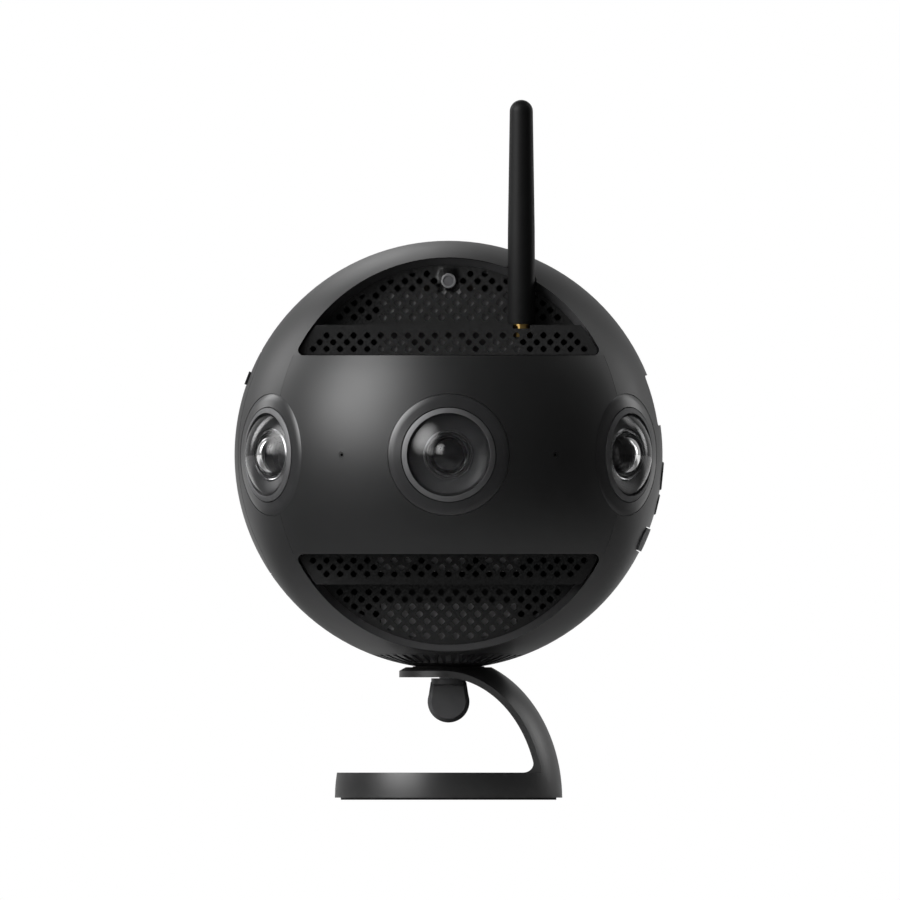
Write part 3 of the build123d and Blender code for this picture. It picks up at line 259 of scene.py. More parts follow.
def finish(name, tone, rough, grain=0.35, depth=0.004, mottle=0.10, metal=0.0, gloss=0.5):
    """Surface of one material. A cloud noise shifts tone and roughness by the mottle, and a
    fine noise of the grain's size in mm stands out by the depth in mm."""
    material = bpy.data.materials.new(name)
    material.use_nodes = True
    tree = material.node_tree
    shader = tree.nodes["Principled BSDF"]
    shader.inputs["Metallic"].default_value = metal
    shader.inputs["Specular IOR Level"].default_value = gloss
    place = add_node(tree, "TexCoord")
    cloud = add_node(tree, "TexNoise", scale=1 / (cloud_grains * grain * mm), detail=4)
    fine = add_node(tree, "TexNoise", scale=1 / (grain * mm), detail=2)
    shade = add_node(tree, "ValToRGB")
    shade.color_ramp.elements[0].position = cloud_dark
    shade.color_ramp.elements[1].position = cloud_light
    shade.color_ramp.elements[0].color = (*[channel * (1 - mottle) for channel in tone], 1)
    shade.color_ramp.elements[1].color = (*[channel * (1 + mottle) for channel in tone], 1)
    sheen = add_node(tree, "MapRange", to_min=rough * (1 - mottle), to_max=rough * (1 + mottle))
    bump = add_node(tree, "Bump", distance=depth * mm)
    wire(
        tree,
        (place, "Object", cloud, "Vector"),
        (place, "Object", fine, "Vector"),
        (cloud, "Fac", shade, "Fac"),
        (cloud, "Fac", sheen, "Value"),
        (fine, "Fac", bump, "Height"),
        (shade, "Color", shader, "Base Color"),
        (sheen, "Result", shader, "Roughness"),
        (bump, "Normal", shader, "Normal"),
    )
    return material


def smooth_copy(node, material, body, form=None, sharp=28, round_edges=0):
    """Merged copy of a CAD piece, without its stored normals and its slivers. Corners smooth
    together below the sharp angle, and corners of faces that lie on the form get that form's own
    normals."""
    mesh = nodes[node].data.copy()
    mesh.name = node + "_skin"
    if "custom_normal" in mesh.attributes:
        mesh.attributes.remove(mesh.attributes["custom_normal"])
    work = bmesh.new()
    work.from_mesh(mesh)
    bmesh.ops.remove_doubles(work, verts=work.verts, dist=merge_reach)
    bmesh.ops.dissolve_degenerate(work, dist=sliver_reach, edges=work.edges)
    bmesh.ops.triangulate(work, faces=work.faces)
    work.to_mesh(mesh)
    work.free()
    mesh.polygons.foreach_set("use_smooth", np.ones(len(mesh.polygons), bool))
    mesh.set_sharp_from_angle(angle=radians(sharp))
    mesh.update()
    if form:
        spots = np.zeros(len(mesh.vertices) * 3)
        mesh.vertices.foreach_get("co", spots)
        on_form, ideal = form(spots.reshape(-1, 3))
        corner_spot = np.zeros(len(mesh.loops), int)
        mesh.loops.foreach_get("vertex_index", corner_spot)
        normals = np.zeros(len(mesh.loops) * 3)
        mesh.corner_normals.foreach_get("vector", normals)
        normals = normals.reshape(-1, 3)
        ways = np.zeros(len(mesh.polygons) * 3)
        mesh.polygons.foreach_get("normal", ways)
        ways = ways.reshape(-1, 1, 3)
        in_face = on_form[corner_spot].reshape(-1, 3).all(axis=1)
        facing = (ways * ideal[corner_spot].reshape(-1, 3, 3)).sum(axis=2).min(axis=1)
        chosen = np.repeat(in_face & (facing > least_facing), 3)
        normals[chosen] = ideal[corner_spot][chosen]
        mesh.normals_split_custom_set(normals.tolist())
    mesh.materials.clear()
    mesh.materials.append(material)
    piece = bpy.data.objects.new(node + "_skin", mesh)
    bpy.context.scene.collection.objects.link(piece)
    if round_edges:
        bevel = piece.modifiers.new("worn_edges", "BEVEL")
        bevel.width = round_edges * mm
        bevel.segments = 2
        bevel.limit_method = "ANGLE"
        bevel.angle_limit = radians(worn_angle)
        bevel.harden_normals = True
    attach(piece, body)
    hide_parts(node)


def round_skin(radius):
    """Form of a skin at a radius from the ball's centre: says which points lie on it, and gives
    each point's normal, straight out from the centre."""

    def form(spots):
        out = spots - ball_centre
        reach = np.linalg.norm(out, axis=1)
        return abs(reach - radius) < form_reach, out / reach[:, None]

    return form


on_ball = round_skin(ball_radius)
shell_paint = finish(
    "shell_paint", (0.0100, 0.0101, 0.0105), 0.42, grain=0.30, depth=0.006, mottle=0.06, gloss=0.55
)
shell_tree = shell_paint.node_tree
shell_place = add_node(shell_tree, "TexCoord")
shell_reach = add_node(shell_tree, "VectorMath", "DISTANCE")
shell_reach.inputs[1].default_value = tuple(ball_centre)
# Below the skin the colour turns lighter grey: painted light on the walls of pockets and openings.
painted_wall_light_share = add_node(
    shell_tree,
    "MapRange",
    from_min=ball_radius - painted_light_full,
    from_max=ball_radius - painted_light_start,
    to_min=1.0,
    to_max=0.0,
)
painted_wall_light_mix = add_node(shell_tree, "Mix")
painted_wall_light_mix.data_type = "RGBA"
painted_wall_light_mix.inputs["B"].default_value = painted_wall_light_tone
wire(
    shell_tree,
    (shell_place, "Object", shell_reach, 0),
    (shell_reach, "Value", painted_wall_light_share, "Value"),
    (painted_wall_light_share, "Result", painted_wall_light_mix, "Factor"),
    (shell_tree.nodes["Color Ramp"], "Color", painted_wall_light_mix, "A"),
    (painted_wall_light_mix, "Result", shell_tree.nodes["Principled BSDF"], "Base Color"),
)
for node in ("main_shell", "front_cover", "rear_cover"):
    smooth_copy(node, shell_paint, "camera", on_ball, round_edges=0.2)

# Grilles. Four black mouldings, each a shelf strip, a ledge and a panel set back, with
# rounded diamond holes moulded through and a drop-in fit behind the ledges.
grille_wall = 1.6
shelf_front = 33.8
deep_front = 24.0
ledge_low = 33.4
ledge_top = 43.35
ledge_half_width = 42.0
ledge_bite = 0.05
arc_middle = 9.2
shelf_arc = 55.9
deep_arc = 54.2
shelf_corner = 1.8
shelf_corner_inset = 2.3
shelf_pitch = 4.53
shelf_first_row = 35.33
shelf_rows = (21, 20, 19)
shelf_diamond = 1.15
deep_pitch = 4.85
deep_first_row = 45.9
deep_rows = (16, 15, 14, 13, 10, 9, 6)
deep_diamond = 1.2
light_height = 58.1
light_clear = 3.42
light_hole = 2.6
antenna_at = (24.3, -29.2)
socket_notch = 2.85
socket_notch_depth = 1.2
mesh_tolerance = 1e-6


def hole_field(first_row, counts, pitch):
    """Centres of rows of holes, each row spread evenly about the middle."""
    rows = []
    for index, count in enumerate(counts):
        across = (np.arange(count) - (count - 1) / 2) * pitch
        rows.append(np.column_stack((across, np.full(count, first_row + index * pitch / 2))))
    return np.concatenate(rows)


def diamond(half, corners=12, fullness=1.35):
    """Rounded diamond: across and up, each to the power of the fullness, add up to the half
    width to that power."""
    turn = np.arange(corners) * 2 * np.pi / corners
    x, y = np.cos(turn), np.sin(turn)
    size = half / (abs(x) ** fullness + abs(y) ** fullness) ** (1 / fullness)
    return np.column_stack((x * size, y * size))


def arc(centre, radius, start, stop, count):
    """Points of an arc from one angle to another, in degrees."""
    turn = np.radians(np.linspace(start, stop, count))
    return np.column_stack((centre[0] + radius * np.cos(turn), centre[1] + radius * np.sin(turn)))


def pierced_plate(outline, holes, lift, thickness):
    """Flat plate between lift and lift + thickness: its outline with the holes cut out, both faces
    and all walls. Points are (across, up, out)."""
    loops = [outline] + list(holes)
    points = np.concatenate(loops)
    starts = np.cumsum([0] + [len(loop) for loop in loops])
    edges = np.concatenate(
        [
            np.column_stack((np.arange(first, last), np.append(np.arange(first + 1, last), first)))
            for first, last in zip(starts[:-1], starts[1:])
        ]
    )
    flat, _, faces, _, _, _ = delaunay_2d_cdt(
        [Vector(point) for point in points], edges.tolist(), [], 1, mesh_tolerance
    )
    flat = np.array([tuple(point) for point in flat])
    faces = np.array(faces)
    if len(holes):
        middles = flat[faces].mean(axis=1)
        centres = np.array([hole.mean(axis=0) for hole in holes])
        reach = np.array([abs(hole - hole.mean(axis=0)).sum(axis=1).max() for hole in holes])
        near = abs(middles[:, None, :] - centres[None, :, :]).sum(axis=2) < reach[None, :]
        hole_of = np.where(near.any(axis=1), near.argmax(axis=1), -1)
        kept = []
        for face, hole in zip(faces, hole_of):
            low, high = (starts[hole + 1], starts[hole + 2]) if hole >= 0 else (0, 0)
            kept.append(not (hole >= 0 and ((face >= low) & (face < high)).all()))
        faces = faces[kept]
    count = len(flat)
    bottom = np.column_stack((flat, np.full(count, lift)))
    top = np.column_stack((flat, np.full(count, lift + thickness)))
    a, b = edges[:, 0], edges[:, 1]
    walls = np.column_stack((a, b, b + count, a + count))
    all_faces = [tuple(face) for face in faces + count]
    all_faces += [tuple(face[::-1]) for face in faces]
    all_faces += [tuple(wall) for wall in walls]
    return np.concatenate((bottom, top)), all_faces


def grille_parts(with_light, with_notch):
    """Shelf strip, ledge and set-back panel of an upper front grille, as (x, forward, up) solids."""
    half_low = sqrt(shelf_arc**2 - (ledge_low - arc_middle) ** 2)
    low_turn = degrees(asin((ledge_low + shelf_corner - arc_middle) / shelf_arc))
    top_turn = degrees(asin((ledge_top - arc_middle) / shelf_arc))
    side = arc((0, arc_middle), shelf_arc, low_turn, top_turn, count=9)
    corner_at = (half_low - shelf_corner_inset, ledge_low + shelf_corner)
    side = np.concatenate((arc(corner_at, shelf_corner, start=-90, stop=-25, count=5), side))
    mirrored = side[::-1] * (-1, 1)
    shelf = [side, mirrored]
    if with_notch:
        right, left = antenna_at[0] + socket_notch, antenna_at[0] - socket_notch
        floor = ledge_top - socket_notch_depth
        shelf.insert(1, np.array(((right, ledge_top), (right, floor), (left, floor), (left, ledge_top))))
    centres = hole_field(shelf_first_row, shelf_rows, shelf_pitch)
    holes = [diamond(shelf_diamond) + centre for centre in centres]
    solid, faces = pierced_plate(np.concatenate(shelf), holes, shelf_front - grille_wall, grille_wall)
    parts = [(solid[:, (0, 2, 1)], faces)]

    foot = ledge_top - grille_wall
    turn = degrees(asin((foot - arc_middle) / deep_arc))
    deep = arc((0, arc_middle), deep_arc, turn, 180 - turn, count=72)
    centres = hole_field(deep_first_row, deep_rows, deep_pitch)
    if with_light:
        centres = centres[np.hypot(centres[:, 0], centres[:, 1] - light_height) > light_clear]
    holes = [diamond(deep_diamond) + centre for centre in centres]
    if with_light:
        holes.append(arc((0, light_height), light_hole, start=0, stop=345, count=24))
    solid, faces = pierced_plate(deep, holes, deep_front - grille_wall, grille_wall)
    parts.append((solid[:, (0, 2, 1)], faces))

    back, front = deep_front - ledge_bite, shelf_front - grille_wall + ledge_bite
    strip = [[(-ledge_half_width, back), (ledge_half_width, back), (ledge_half_width, front)]]
    if with_notch:
        cut = arc((antenna_at[0], -antenna_at[1]), socket_notch, start=0, stop=-180, count=17)
        strip += [[(right, front)], cut, [(left, front)]]
    strip.append([(-ledge_half_width, front)])
    parts.append(pierced_plate(np.concatenate(strip), [], foot, grille_wall))
    return parts


def solid_mesh(name, parts, material, sharp=30):
    """One piece from several closed solids in mm, with faces turned outward."""
    offsets = np.cumsum([0] + [len(solid) for solid, _ in parts])
    spots = np.concatenate([solid for solid, _ in parts]) * mm
    faces = [
        tuple(int(corner + start) for corner in face)
        for start, (_, part_faces) in zip(offsets, parts)
        for face in part_faces
    ]
    mesh = bpy.data.meshes.new(name)
    mesh.from_pydata(spots.tolist(), [], faces)
    work = bmesh.new()
    work.from_mesh(mesh)
    bmesh.ops.recalc_face_normals(work, faces=work.faces)
    work.to_mesh(mesh)
    work.free()
    mesh.polygons.foreach_set("use_smooth", np.ones(len(mesh.polygons), bool))
    mesh.set_sharp_from_angle(angle=radians(sharp))
    mesh.materials.append(material)
    piece = bpy.data.objects.new(name, mesh)
    bpy.context.scene.collection.objects.link(piece)
    return piece


ball_mm = ball_centre / mm
grille_black = finish("grille_black", (0.0060, 0.0060, 0.0062), 0.50, grain=0.25, depth=0.008)
for node, up, forward in (
    ("front_upper_grille", 1, -1),
    ("front_lower_grille", -1, -1),
    ("rear_upper_grille", 1, 1),
    ("rear_lower_grille", -1, 1),
):
    at_front_top = node == "front_upper_grille"
    placed = [
        (solid * (1, forward, up) + (0, 0, ball_mm[2]), faces)
        for solid, faces in grille_parts(at_front_top, at_front_top)
    ]
    piece = solid_mesh(node + "_pierced", placed, grille_black)
    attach(piece, "camera")
    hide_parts(node)

# Guard plates. Grey sheet strips are welded behind the middle holes of the front grilles, so
# those holes end blind and show a grey floor where the outer ones run on into the dark.
guard_gap = 0.5
guard_thickness = 0.8
upper_guard_half, upper_guard_low, upper_guard_top = 23.0, 45.0, 54.2
lower_guard_half, lower_guard_low, lower_guard_top = 22.6, 49.6, 62.2
shelf_guard_half, shelf_guard_low, shelf_guard_top = 5.6, 34.2, 39.0
shelf_guard_step = 4 * shelf_pitch


def strip_outline(middle, half_width, low, high):
    """Corners of a level strip seen from the front, as (across, up)."""
    left, right = middle - half_width, middle + half_width
    return np.array(((left, low), (right, low), (right, high), (left, high)))


guard_grey = finish("guard_grey", (0.60, 0.60, 0.61), 0.45, grain=0.3, depth=0.01, mottle=0.15)
for name, up, half_width, low, high in (
    ("upper_guard_plates", 1, upper_guard_half, upper_guard_low, upper_guard_top),
    ("lower_guard_plates", -1, lower_guard_half, lower_guard_low, lower_guard_top),
):
    strips = [(strip_outline(0, half_width, low, high), deep_front)]
    for middle in (-shelf_guard_step, 0, shelf_guard_step):
        outline = strip_outline(middle, shelf_guard_half, shelf_guard_low, shelf_guard_top)
        strips.append((outline, shelf_front))
    placed = []
    for outline, front in strips:
        lift = front - grille_wall - guard_gap - guard_thickness
        solid, faces = pierced_plate(outline, [], lift, guard_thickness)
        placed.append((solid[:, (0, 2, 1)] * (1, -1, up) + (0, 0, ball_mm[2]), faces))
    piece = solid_mesh(name, placed, guard_grey)
    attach(piece, "camera")

# Status light. A pale moulded ring, pressed into the upper front grille, holds a small domed
# window of frosted plastic.
light_ring_radius = 2.5
light_radius = 1.75
light_proud = 0.4
light_length = 3.4
light_rounding = 0.2
light_rounding_middle = 0.06
light_chamfer = 0.1
window_radius = light_radius - 0.02
window_depth = 3.0
window_bulge = 0.15


def turned(profile, middle, along, side, count=96):
    """Solid of revolution from a profile of (radius, reach) points: each point stands at the middle,
    its reach along the axis, and its radius square to it, for every angle. The profile starts and
    ends on the axis, or closes on itself."""
    middle, along, side = (np.asarray(place, float) for place in (middle, along, side))
    up = np.cross(along, side)
    profile = np.asarray(profile, float)
    closed = profile[0, 0] > 0
    turn = np.arange(count) * 2 * np.pi / count
    round_about = np.cos(turn)[:, None] * side + np.sin(turn)[:, None] * up
    solid = (
        middle
        + profile[None, :, 1, None] * along
        + profile[None, :, 0, None] * round_about[:, None, :]
    )
    size = len(profile)
    steps = np.arange(size if closed else size - 1)
    turns = np.arange(count)[:, None]
    a = turns * size + steps
    b = turns * size + (steps + 1) % size
    c = (turns + 1) % count * size + (steps + 1) % size
    d = (turns + 1) % count * size + steps
    quads = np.stack((a, b, c, d), axis=-1).reshape(-1, 4)
    return solid.reshape(-1, 3), [tuple(quad) for quad in quads]


def arc_profile(radius, edge, bulge, count=20):
    """Meridian of a dome: an arc from the axis, edge + bulge high, to the radius at the edge. Its
    circle's radius is the squares of the radius and the bulge, added, over twice the bulge."""
    curve = (radius**2 + bulge**2) / (2 * bulge)
    turn = np.linspace(0, np.arcsin(radius / curve), count)
    return np.column_stack((curve * np.sin(turn), edge + bulge - curve + curve * np.cos(turn)))


light_at = ball_mm + (0, -deep_front, light_height)
forward, right = (0, -1, 0), (1, 0, 0)
light_rim = finish("light_rim", (0.22, 0.22, 0.225), 0.40, grain=0.15, depth=0.004, metal=0.3)
light_frost = finish("light_frost", (0.11, 0.11, 0.115), 0.35, grain=0.2, depth=0.01, mottle=0.2)
ring_profile = [
    (light_radius, light_proud - light_length),
    (light_ring_radius, light_proud - light_length),
    (light_ring_radius, light_proud - light_rounding),
    (light_ring_radius - light_rounding_middle, light_proud - light_rounding_middle),
    (light_ring_radius - light_rounding, light_proud),
    (light_radius + light_chamfer, light_proud),
    (light_radius, light_proud - light_chamfer),
]
ring_solid = turned(ring_profile, light_at, forward, right, count=48)
piece = solid_mesh("status_light_rim", [ring_solid], light_rim)
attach(piece, "camera")
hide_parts("status_light_ring")
window_profile = np.concatenate(
    (
        arc_profile(window_radius, light_proud / 2 - window_bulge, window_bulge, count=8),
        [(window_radius, -window_depth), (0, -window_depth)],
    )
)
window_solid = turned(window_profile, light_at, forward, right, count=48)
piece = solid_mesh("status_light_window", [window_solid], light_frost)
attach(piece, "camera")
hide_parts("status_light_lens")

# Lens trim. Six turned aluminium rings, black anodised over a fine circular cut, lie flush
# with the shell, and a lighter bezel ring inside each clamps the front glass.
lens_turns = (0, 60, 120, 180, 240, 300)
trim_outer, trim_inner = 20.3, 15.9
trim_swell = 0.02
bezel_outer, bezel_inner = 15.7, 13.85
bezel_edge = 70.0
bezel_front = 70.5
lens_seat = 66.0
edge_round = 0.15


def lens_frame(turn):
    """Ball's centre, the lens axis outward, and the level direction square to it."""
    sine, cosine = sin(radians(turn)), cos(radians(turn))
    return ball_mm, (sine, -cosine, 0), (cosine, sine, 0)


def six_turned(name, profile, material, node, count=128):
    """The same turned piece at all six lenses, in one mesh. It stands for the CAD piece, if any."""
    piece = solid_mesh(name, [turned(profile, *lens_frame(turn), count) for turn in lens_turns], material)
    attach(piece, "camera")
    if node:
        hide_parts(node)


def turned_metal(name, tone, rough, cut=0.16, depth=0.003, metal=0.85, gloss=0.5):
    """Lathe-cut face round each lens: distance from the nearest lens axis drives fine circular
    grooves. The axis distance is the length of the place crossed with the axis' direction."""
    material = finish(name, tone, rough, grain=0.2, depth=0.002, metal=metal, gloss=gloss)
    tree = material.node_tree
    place = add_node(tree, "TexCoord")
    shift = add_node(tree, "VectorMath", "SUBTRACT")
    shift.inputs[1].default_value = tuple(ball_centre)
    wire(tree, (place, "Object", shift, 0))
    nearest = None
    for turn in lens_turns[:3]:
        cross = add_node(tree, "VectorMath", "CROSS_PRODUCT")
        cross.inputs[1].default_value = lens_frame(turn)[1]
        length = add_node(tree, "VectorMath", "LENGTH")
        wire(tree, (shift, "Vector", cross, 0), (cross, "Vector", length, 0))
        if nearest is None:
            nearest = length
        else:
            smaller = add_node(tree, "Math", "MINIMUM")
            wire(tree, (nearest, "Value", smaller, 0), (length, "Value", smaller, 1))
            nearest = smaller
    grooves = add_node(tree, "TexNoise")
    grooves.noise_dimensions = "1D"
    grooves.inputs["Scale"].default_value = 1 / (cut * mm)
    grooves.inputs["Detail"].default_value = 3
    bump = add_node(tree, "Bump", distance=depth * mm)
    wire(
        tree,
        (nearest, "Value", grooves, "W"),
        (grooves, "Fac", bump, "Height"),
        (bump, "Normal", tree.nodes["Principled BSDF"], "Normal"),
    )
    return material


ball_reach = ball_radius / mm
trim_top = sqrt(ball_reach**2 - trim_outer**2)
trim_foot = sqrt(ball_reach**2 - trim_inner**2)
trim_profile = [
    (trim_inner, lens_seat),
    (trim_outer, lens_seat),
    (trim_outer, trim_top - edge_round),
    (trim_outer - edge_round, trim_top),
    ((trim_outer + trim_inner) / 2, (trim_top + trim_foot) / 2 + trim_swell),
    (trim_inner + edge_round, trim_foot),
    (trim_inner, trim_foot - edge_round),
]
trim_black = turned_metal("trim_black", (0.022, 0.022, 0.023), 0.29, metal=0.0, gloss=0.6)
six_turned("lens_trim_turned", trim_profile, trim_black, "lens_trim_rings")
bezel_profile = [
    (bezel_inner, lens_seat),
    (bezel_outer, lens_seat),
    (bezel_outer, bezel_edge - edge_round),
    (bezel_outer - edge_round, bezel_edge),
    (bezel_inner + edge_round, bezel_front),
    (bezel_inner, bezel_front - edge_round),
]
bezel_grey = turned_metal("bezel_grey", (0.13, 0.13, 0.133), 0.55, metal=0.6)
six_turned("lens_bezel_turned", bezel_profile, bezel_grey, "lens_bezels")

# Front glasses. Each is a strong meniscus of clear glass, a dome outside over a deep hollow
# behind, held in its seat by the bezel.
glass_radius = 13.7
glass_edge = 69.7
glass_bulge = 5.9
hollow_radius = 6.6
hollow_depth = 4.5
glass_index = 1.40
glass_profile = np.concatenate(
    (
        arc_profile(glass_radius, glass_edge, glass_bulge, count=32),
        [(glass_radius, lens_seat)],
        arc_profile(hollow_radius, lens_seat, hollow_depth, count=24)[::-1],
    )
)
clear_glass = finish("clear_glass", (1.0, 1.0, 1.0), 0.001, grain=3, depth=0.0, mottle=0.0)
glass_shader = clear_glass.node_tree.nodes["Principled BSDF"]
glass_shader.inputs["Transmission Weight"].default_value = 1.0
glass_shader.inputs["IOR"].default_value = glass_index
six_turned(
    "lens_front_meniscus", glass_profile, clear_glass, "lens_front_glasses", count=96
)

# Ground rings. A blackened ring backs each front glass round its hollow, with a bright rolled
# lip on its inner edge.
ground_bore = 6.75
ground_outer = 13.65
ground_back = 61.8
ground_back_radius = 7.2
ground_shoulder = 65.6
ground_top = lens_seat + 0.03
lip_bore, lip_outer, lip_crest_outer = 6.8, 7.35, 6.98
lip_foot = ground_top - 0.1
lip_crest = ground_top + 0.26
ground_profile = [
    (ground_bore, ground_back),
    (ground_back_radius, ground_back),
    (ground_outer, ground_shoulder),
    (ground_outer, ground_top),
    (ground_bore, ground_top),
]
lip_profile = [
    (lip_bore, lip_foot),
    (lip_outer, lip_foot),
    (lip_outer, ground_top),
    (lip_crest_outer, lip_crest),
    (lip_bore, lip_crest),
]
ring_black = finish("ring_black", (0.030, 0.030, 0.032), 0.30, grain=0.2, depth=0.003)
six_turned("lens_ground_ring", ground_profile, ring_black, None, count=96)
lip_bright = finish("lip_bright", (0.24, 0.24, 0.245), 0.24, grain=0.2, depth=0.002, metal=1.0)
six_turned("lens_ring_lip", lip_profile, lip_bright, None, count=96)

# Inner glasses. A dark coated glass dome stands behind each hollow, slipped into the bore of
# its lens holder.
inner_radius = 8.35
inner_edge = 61.0
inner_bulge = 2.0
inner_back = 60.4
inner_profile = np.concatenate(
    (
        arc_profile(inner_radius, inner_edge, inner_bulge),
        [(inner_radius, inner_back), (0, inner_back)],
    )
)
dark_glass = finish("dark_glass", (0.016, 0.016, 0.018), 0.26, grain=4, depth=0.0, mottle=0.2, gloss=0.2)
six_turned(
    "lens_inner_coated", inner_profile, dark_glass, "lens_inner_glasses", count=64
)

# Microphones. Four small black capsules are pushed from inside into pinholes on the equator,
# between the lenses.


def dress(material, *names):
    """Gives the material to CAD pieces that keep their own mesh."""
    for name in names:
        nodes[name].data.materials.clear()
        nodes[name].data.materials.append(material)


mic_black = finish("mic_black", (0.008, 0.008, 0.008), 0.6, grain=0.2, depth=0.01)
dress(mic_black, "microphones")

# Antenna. A rod with a moulded rubber skin, slightly waisted, screws on a gilt brass connector
# that stands in the ledge of the upper front grille.
whip_lift = 0.3
whip_length = 74.9
tip_radius = 3.88
waist_radius, waist_height = 4.5, 31.46
foot_radius = 4.65
foot_flat = 4.3
foot_rounding = 0.4
bore_radius = 2.73
bore_depth = 9
whip_at = (antenna_at[0], antenna_at[1], ball_mm[2] + ledge_top + whip_lift)
whip_profile = np.concatenate(
    (
        arc((0, whip_length - tip_radius), tip_radius, start=90, stop=0, count=14),
        [
            (waist_radius, waist_height),
            (foot_radius, foot_rounding),
            (foot_radius - foot_rounding / 4, foot_rounding / 4),
            (foot_flat, 0),
            (bore_radius, 0),
            (bore_radius, bore_depth),
            (0, bore_depth),
        ],
    )
)
skin_rubber = finish("skin_rubber", (0.0060, 0.0060, 0.0062), 0.52, grain=0.25, depth=0.004, gloss=0.2)
whip_solid = turned(whip_profile, whip_at, (0, 0, 1), (1, 0, 0), count=72)
piece = solid_mesh("antenna_skin", [whip_solid], skin_rubber, sharp=40)
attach(piece, "antenna")
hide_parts("antenna_whip")
gilt = finish("gilt", (0.75, 0.50, 0.17), 0.28, grain=0.15, depth=0.003, metal=1.0)
dress(gilt, "antenna_socket")

# Display. A small screen in a rectangular window above the keys. Its black glass lies flush in
# the shell, over the dark face of the display module.
display_glass = finish("display_glass", (0.004, 0.004, 0.005), 0.08, grain=2, depth=0.0, mottle=0.15)
smooth_copy("display_glass", display_glass, "camera", round_edges=0.2)
sensor_dark = finish("sensor_dark", (0.012, 0.012, 0.020), 0.15, grain=0.5, depth=0.001, mottle=0.25)
dress(sensor_dark, "display_module")

# Keys and battery tab. Moulded caps of semi-gloss black plastic, each sprung in an opening of
# its own outline and a little proud of the shell.
key_black = finish("key_black", (0.008, 0.008, 0.009), 0.32, grain=0.2, depth=0.004)
for name in ("power_button", "shutter_button", "battery_tab"):
    smooth_copy(name, key_black, name, round_edges=0.15)

# Ports. A grey rubber cover curved with the ball, hinged below, over a housing with two
# pressed steel sockets.
cover_radius = 72.0 * mm
cover_grey = finish("cover_grey", (0.055, 0.055, 0.058), 0.55, grain=0.25, depth=0.008)
smooth_copy("port_cover", cover_grey, "port_cover", round_skin(cover_radius))
pressed_steel = finish("pressed_steel", (0.50, 0.50, 0.51), 0.30, grain=0.3, depth=0.003, metal=1.0)
dress(pressed_steel, "usb_socket", "hdmi_socket")

# Battery. A door panel curved with the ball, and painted like it, carries the black-wrapped
# pack, which slides into a plastic bay.
smooth_copy("battery_door", shell_paint, "battery", on_ball)
wrap_black = finish("wrap_black", (0.020, 0.020, 0.022), 0.45, grain=0.4, depth=0.006)
dress(wrap_black, "battery_pack")

# Ring under the ball. A moulded ring with forty narrow slots, the fan's way out, painted like
# the shell and seated in it round the gilt tripod bushing.
smooth_copy("bottom_vent_ring", shell_paint, "camera", on_ball)
dress(gilt, "tripod_bushing")

# Inside. Green boards, a cast chassis with its heat sink and mount block, a black fan and the
# plastic holders stand stacked behind the grilles and show through the holes.
board_green = finish("board_green", (0.008, 0.045, 0.022), 0.35, grain=0.5, depth=0.01, mottle=0.3)
cast_alloy = finish("cast_alloy", (0.42, 0.42, 0.43), 0.45, grain=0.4, depth=0.01, metal=0.3)
inner_black = finish("inner_black", (0.010, 0.010, 0.010), 0.6, grain=0.3, depth=0.008)
fan_black = finish("fan_black", (0.014, 0.014, 0.014), 0.45, grain=0.3, depth=0.006)
patch_ceramic = finish("patch_ceramic", (0.28, 0.25, 0.20), 0.5, grain=0.4, depth=0.008, mottle=0.2)
dress(board_green, "main_board", "power_board", "control_board", "image_sensor_boards")
dress(cast_alloy, "chassis_drum", "upper_heat_sink", "tripod_mount_block", "control_bracket")
dress(inner_black, "lens_holders", "battery_bay", "port_housing", "fan_standoffs", "air_baffles")
dress(fan_black, "cooling_fan_frame", "cooling_fan_rotor", "key_switches")
dress(patch_ceramic, "gps_module")
dress(sensor_dark, "image_sensors")

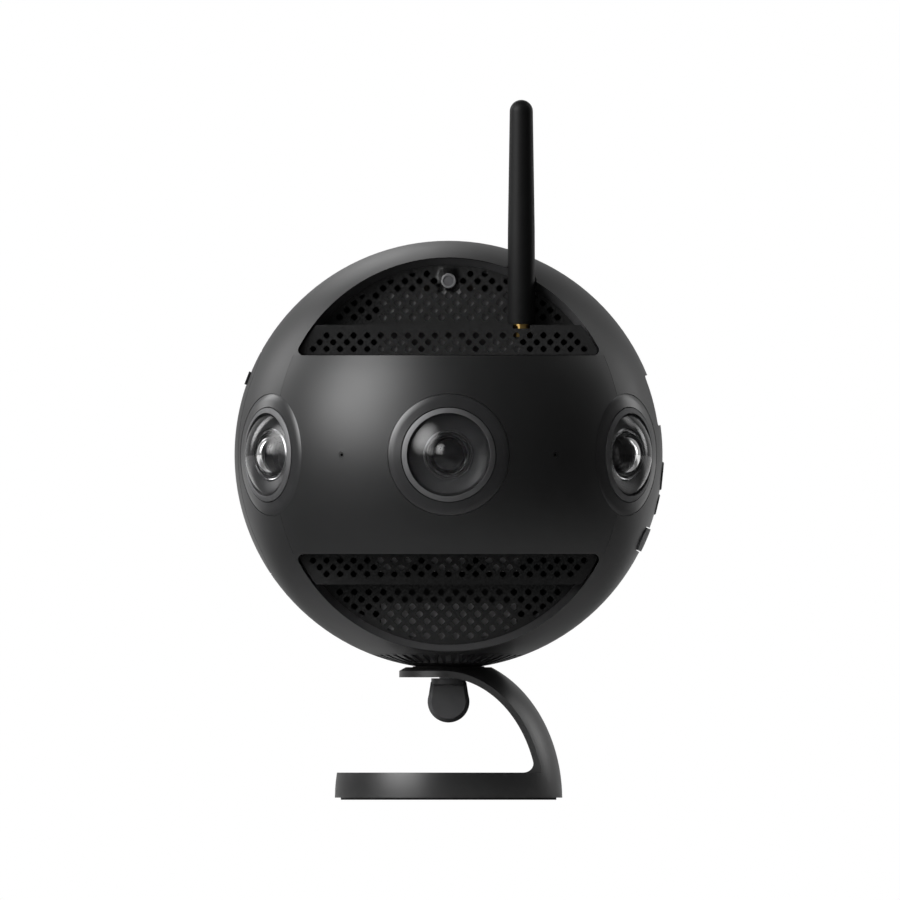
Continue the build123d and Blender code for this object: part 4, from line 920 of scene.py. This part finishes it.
# Baffle gaskets. A black foam arc on the rim of each air baffle keeps light and air from
# passing round it.
gasket_inner, gasket_outer = 51.9, 53.5
gasket_start = 23
gasket_half = 1.2
gasket_outline = np.concatenate(
    (
        arc((0, arc_middle), gasket_outer, gasket_start, 180 - gasket_start, count=97),
        arc((0, arc_middle), gasket_inner, 180 - gasket_start, gasket_start, count=97),
    )
)
gasket_solid, faces = pierced_plate(gasket_outline, [], -gasket_half, 2 * gasket_half)
gaskets = [(gasket_solid[:, (0, 2, 1)] * (1, 1, up) + (0, 0, ball_mm[2]), faces) for up in (1, -1)]
piece = solid_mesh("baffle_gaskets", gaskets, inner_black)
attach(piece, "camera")

# Stand. One aluminium casting shaped as a slice of an egg: base disc, curved arm and plate.
# It is painted like the ball; rubber discs sit under the base and on the plate.
egg = (38.0 * mm, 47.8 * mm)
egg_inside = (36.2 * mm, 46.0 * mm)
egg_tolerance = 0.0015


def on_egg(spots):
    """Egg skins of the stand, where the distance from the upright axis over the egg's half width,
    squared, and the height over its half height, squared, add up to one. Normals follow that
    sum's gradient, outward on the outer skin and inward on the inner one."""
    chosen = np.zeros(len(spots), bool)
    ideal = np.zeros_like(spots)
    for (a, b), way in ((egg, 1), (egg_inside, -1)):
        level = np.hypot(np.hypot(spots[:, 0], spots[:, 1]) / a, spots[:, 2] / b)
        slope = way * spots / (a**2, a**2, b**2)
        here = abs(level - 1) < egg_tolerance
        ideal[here] = (slope / np.linalg.norm(slope, axis=1)[:, None])[here]
        chosen |= here
    return chosen, ideal


stand_paint = finish(
    "stand_paint", (0.0120, 0.0120, 0.0124), 0.36, grain=0.30, depth=0.006, mottle=0.06, gloss=0.8
)
smooth_copy("stand_frame", stand_paint, "stand", on_egg)
pad_rubber = finish("pad_rubber", (0.012, 0.012, 0.012), 0.7, grain=0.4, depth=0.02)
for node in ("stand_foot_pad", "stand_top_pad"):
    smooth_copy(node, pad_rubber, "stand", round_edges=0.15)

# Thumb key. A cast paddle with bevelled faces and a round collar, painted a shade paler than
# the stand and pressed on the screw's steel stud.
key_paint = finish("key_paint", (0.070, 0.070, 0.072), 0.32, grain=0.25, depth=0.004)
smooth_copy("thumb_key", key_paint, "thumb_screw", round_edges=0.12)
dress(pressed_steel, "thumb_screw_stud")

low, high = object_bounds()
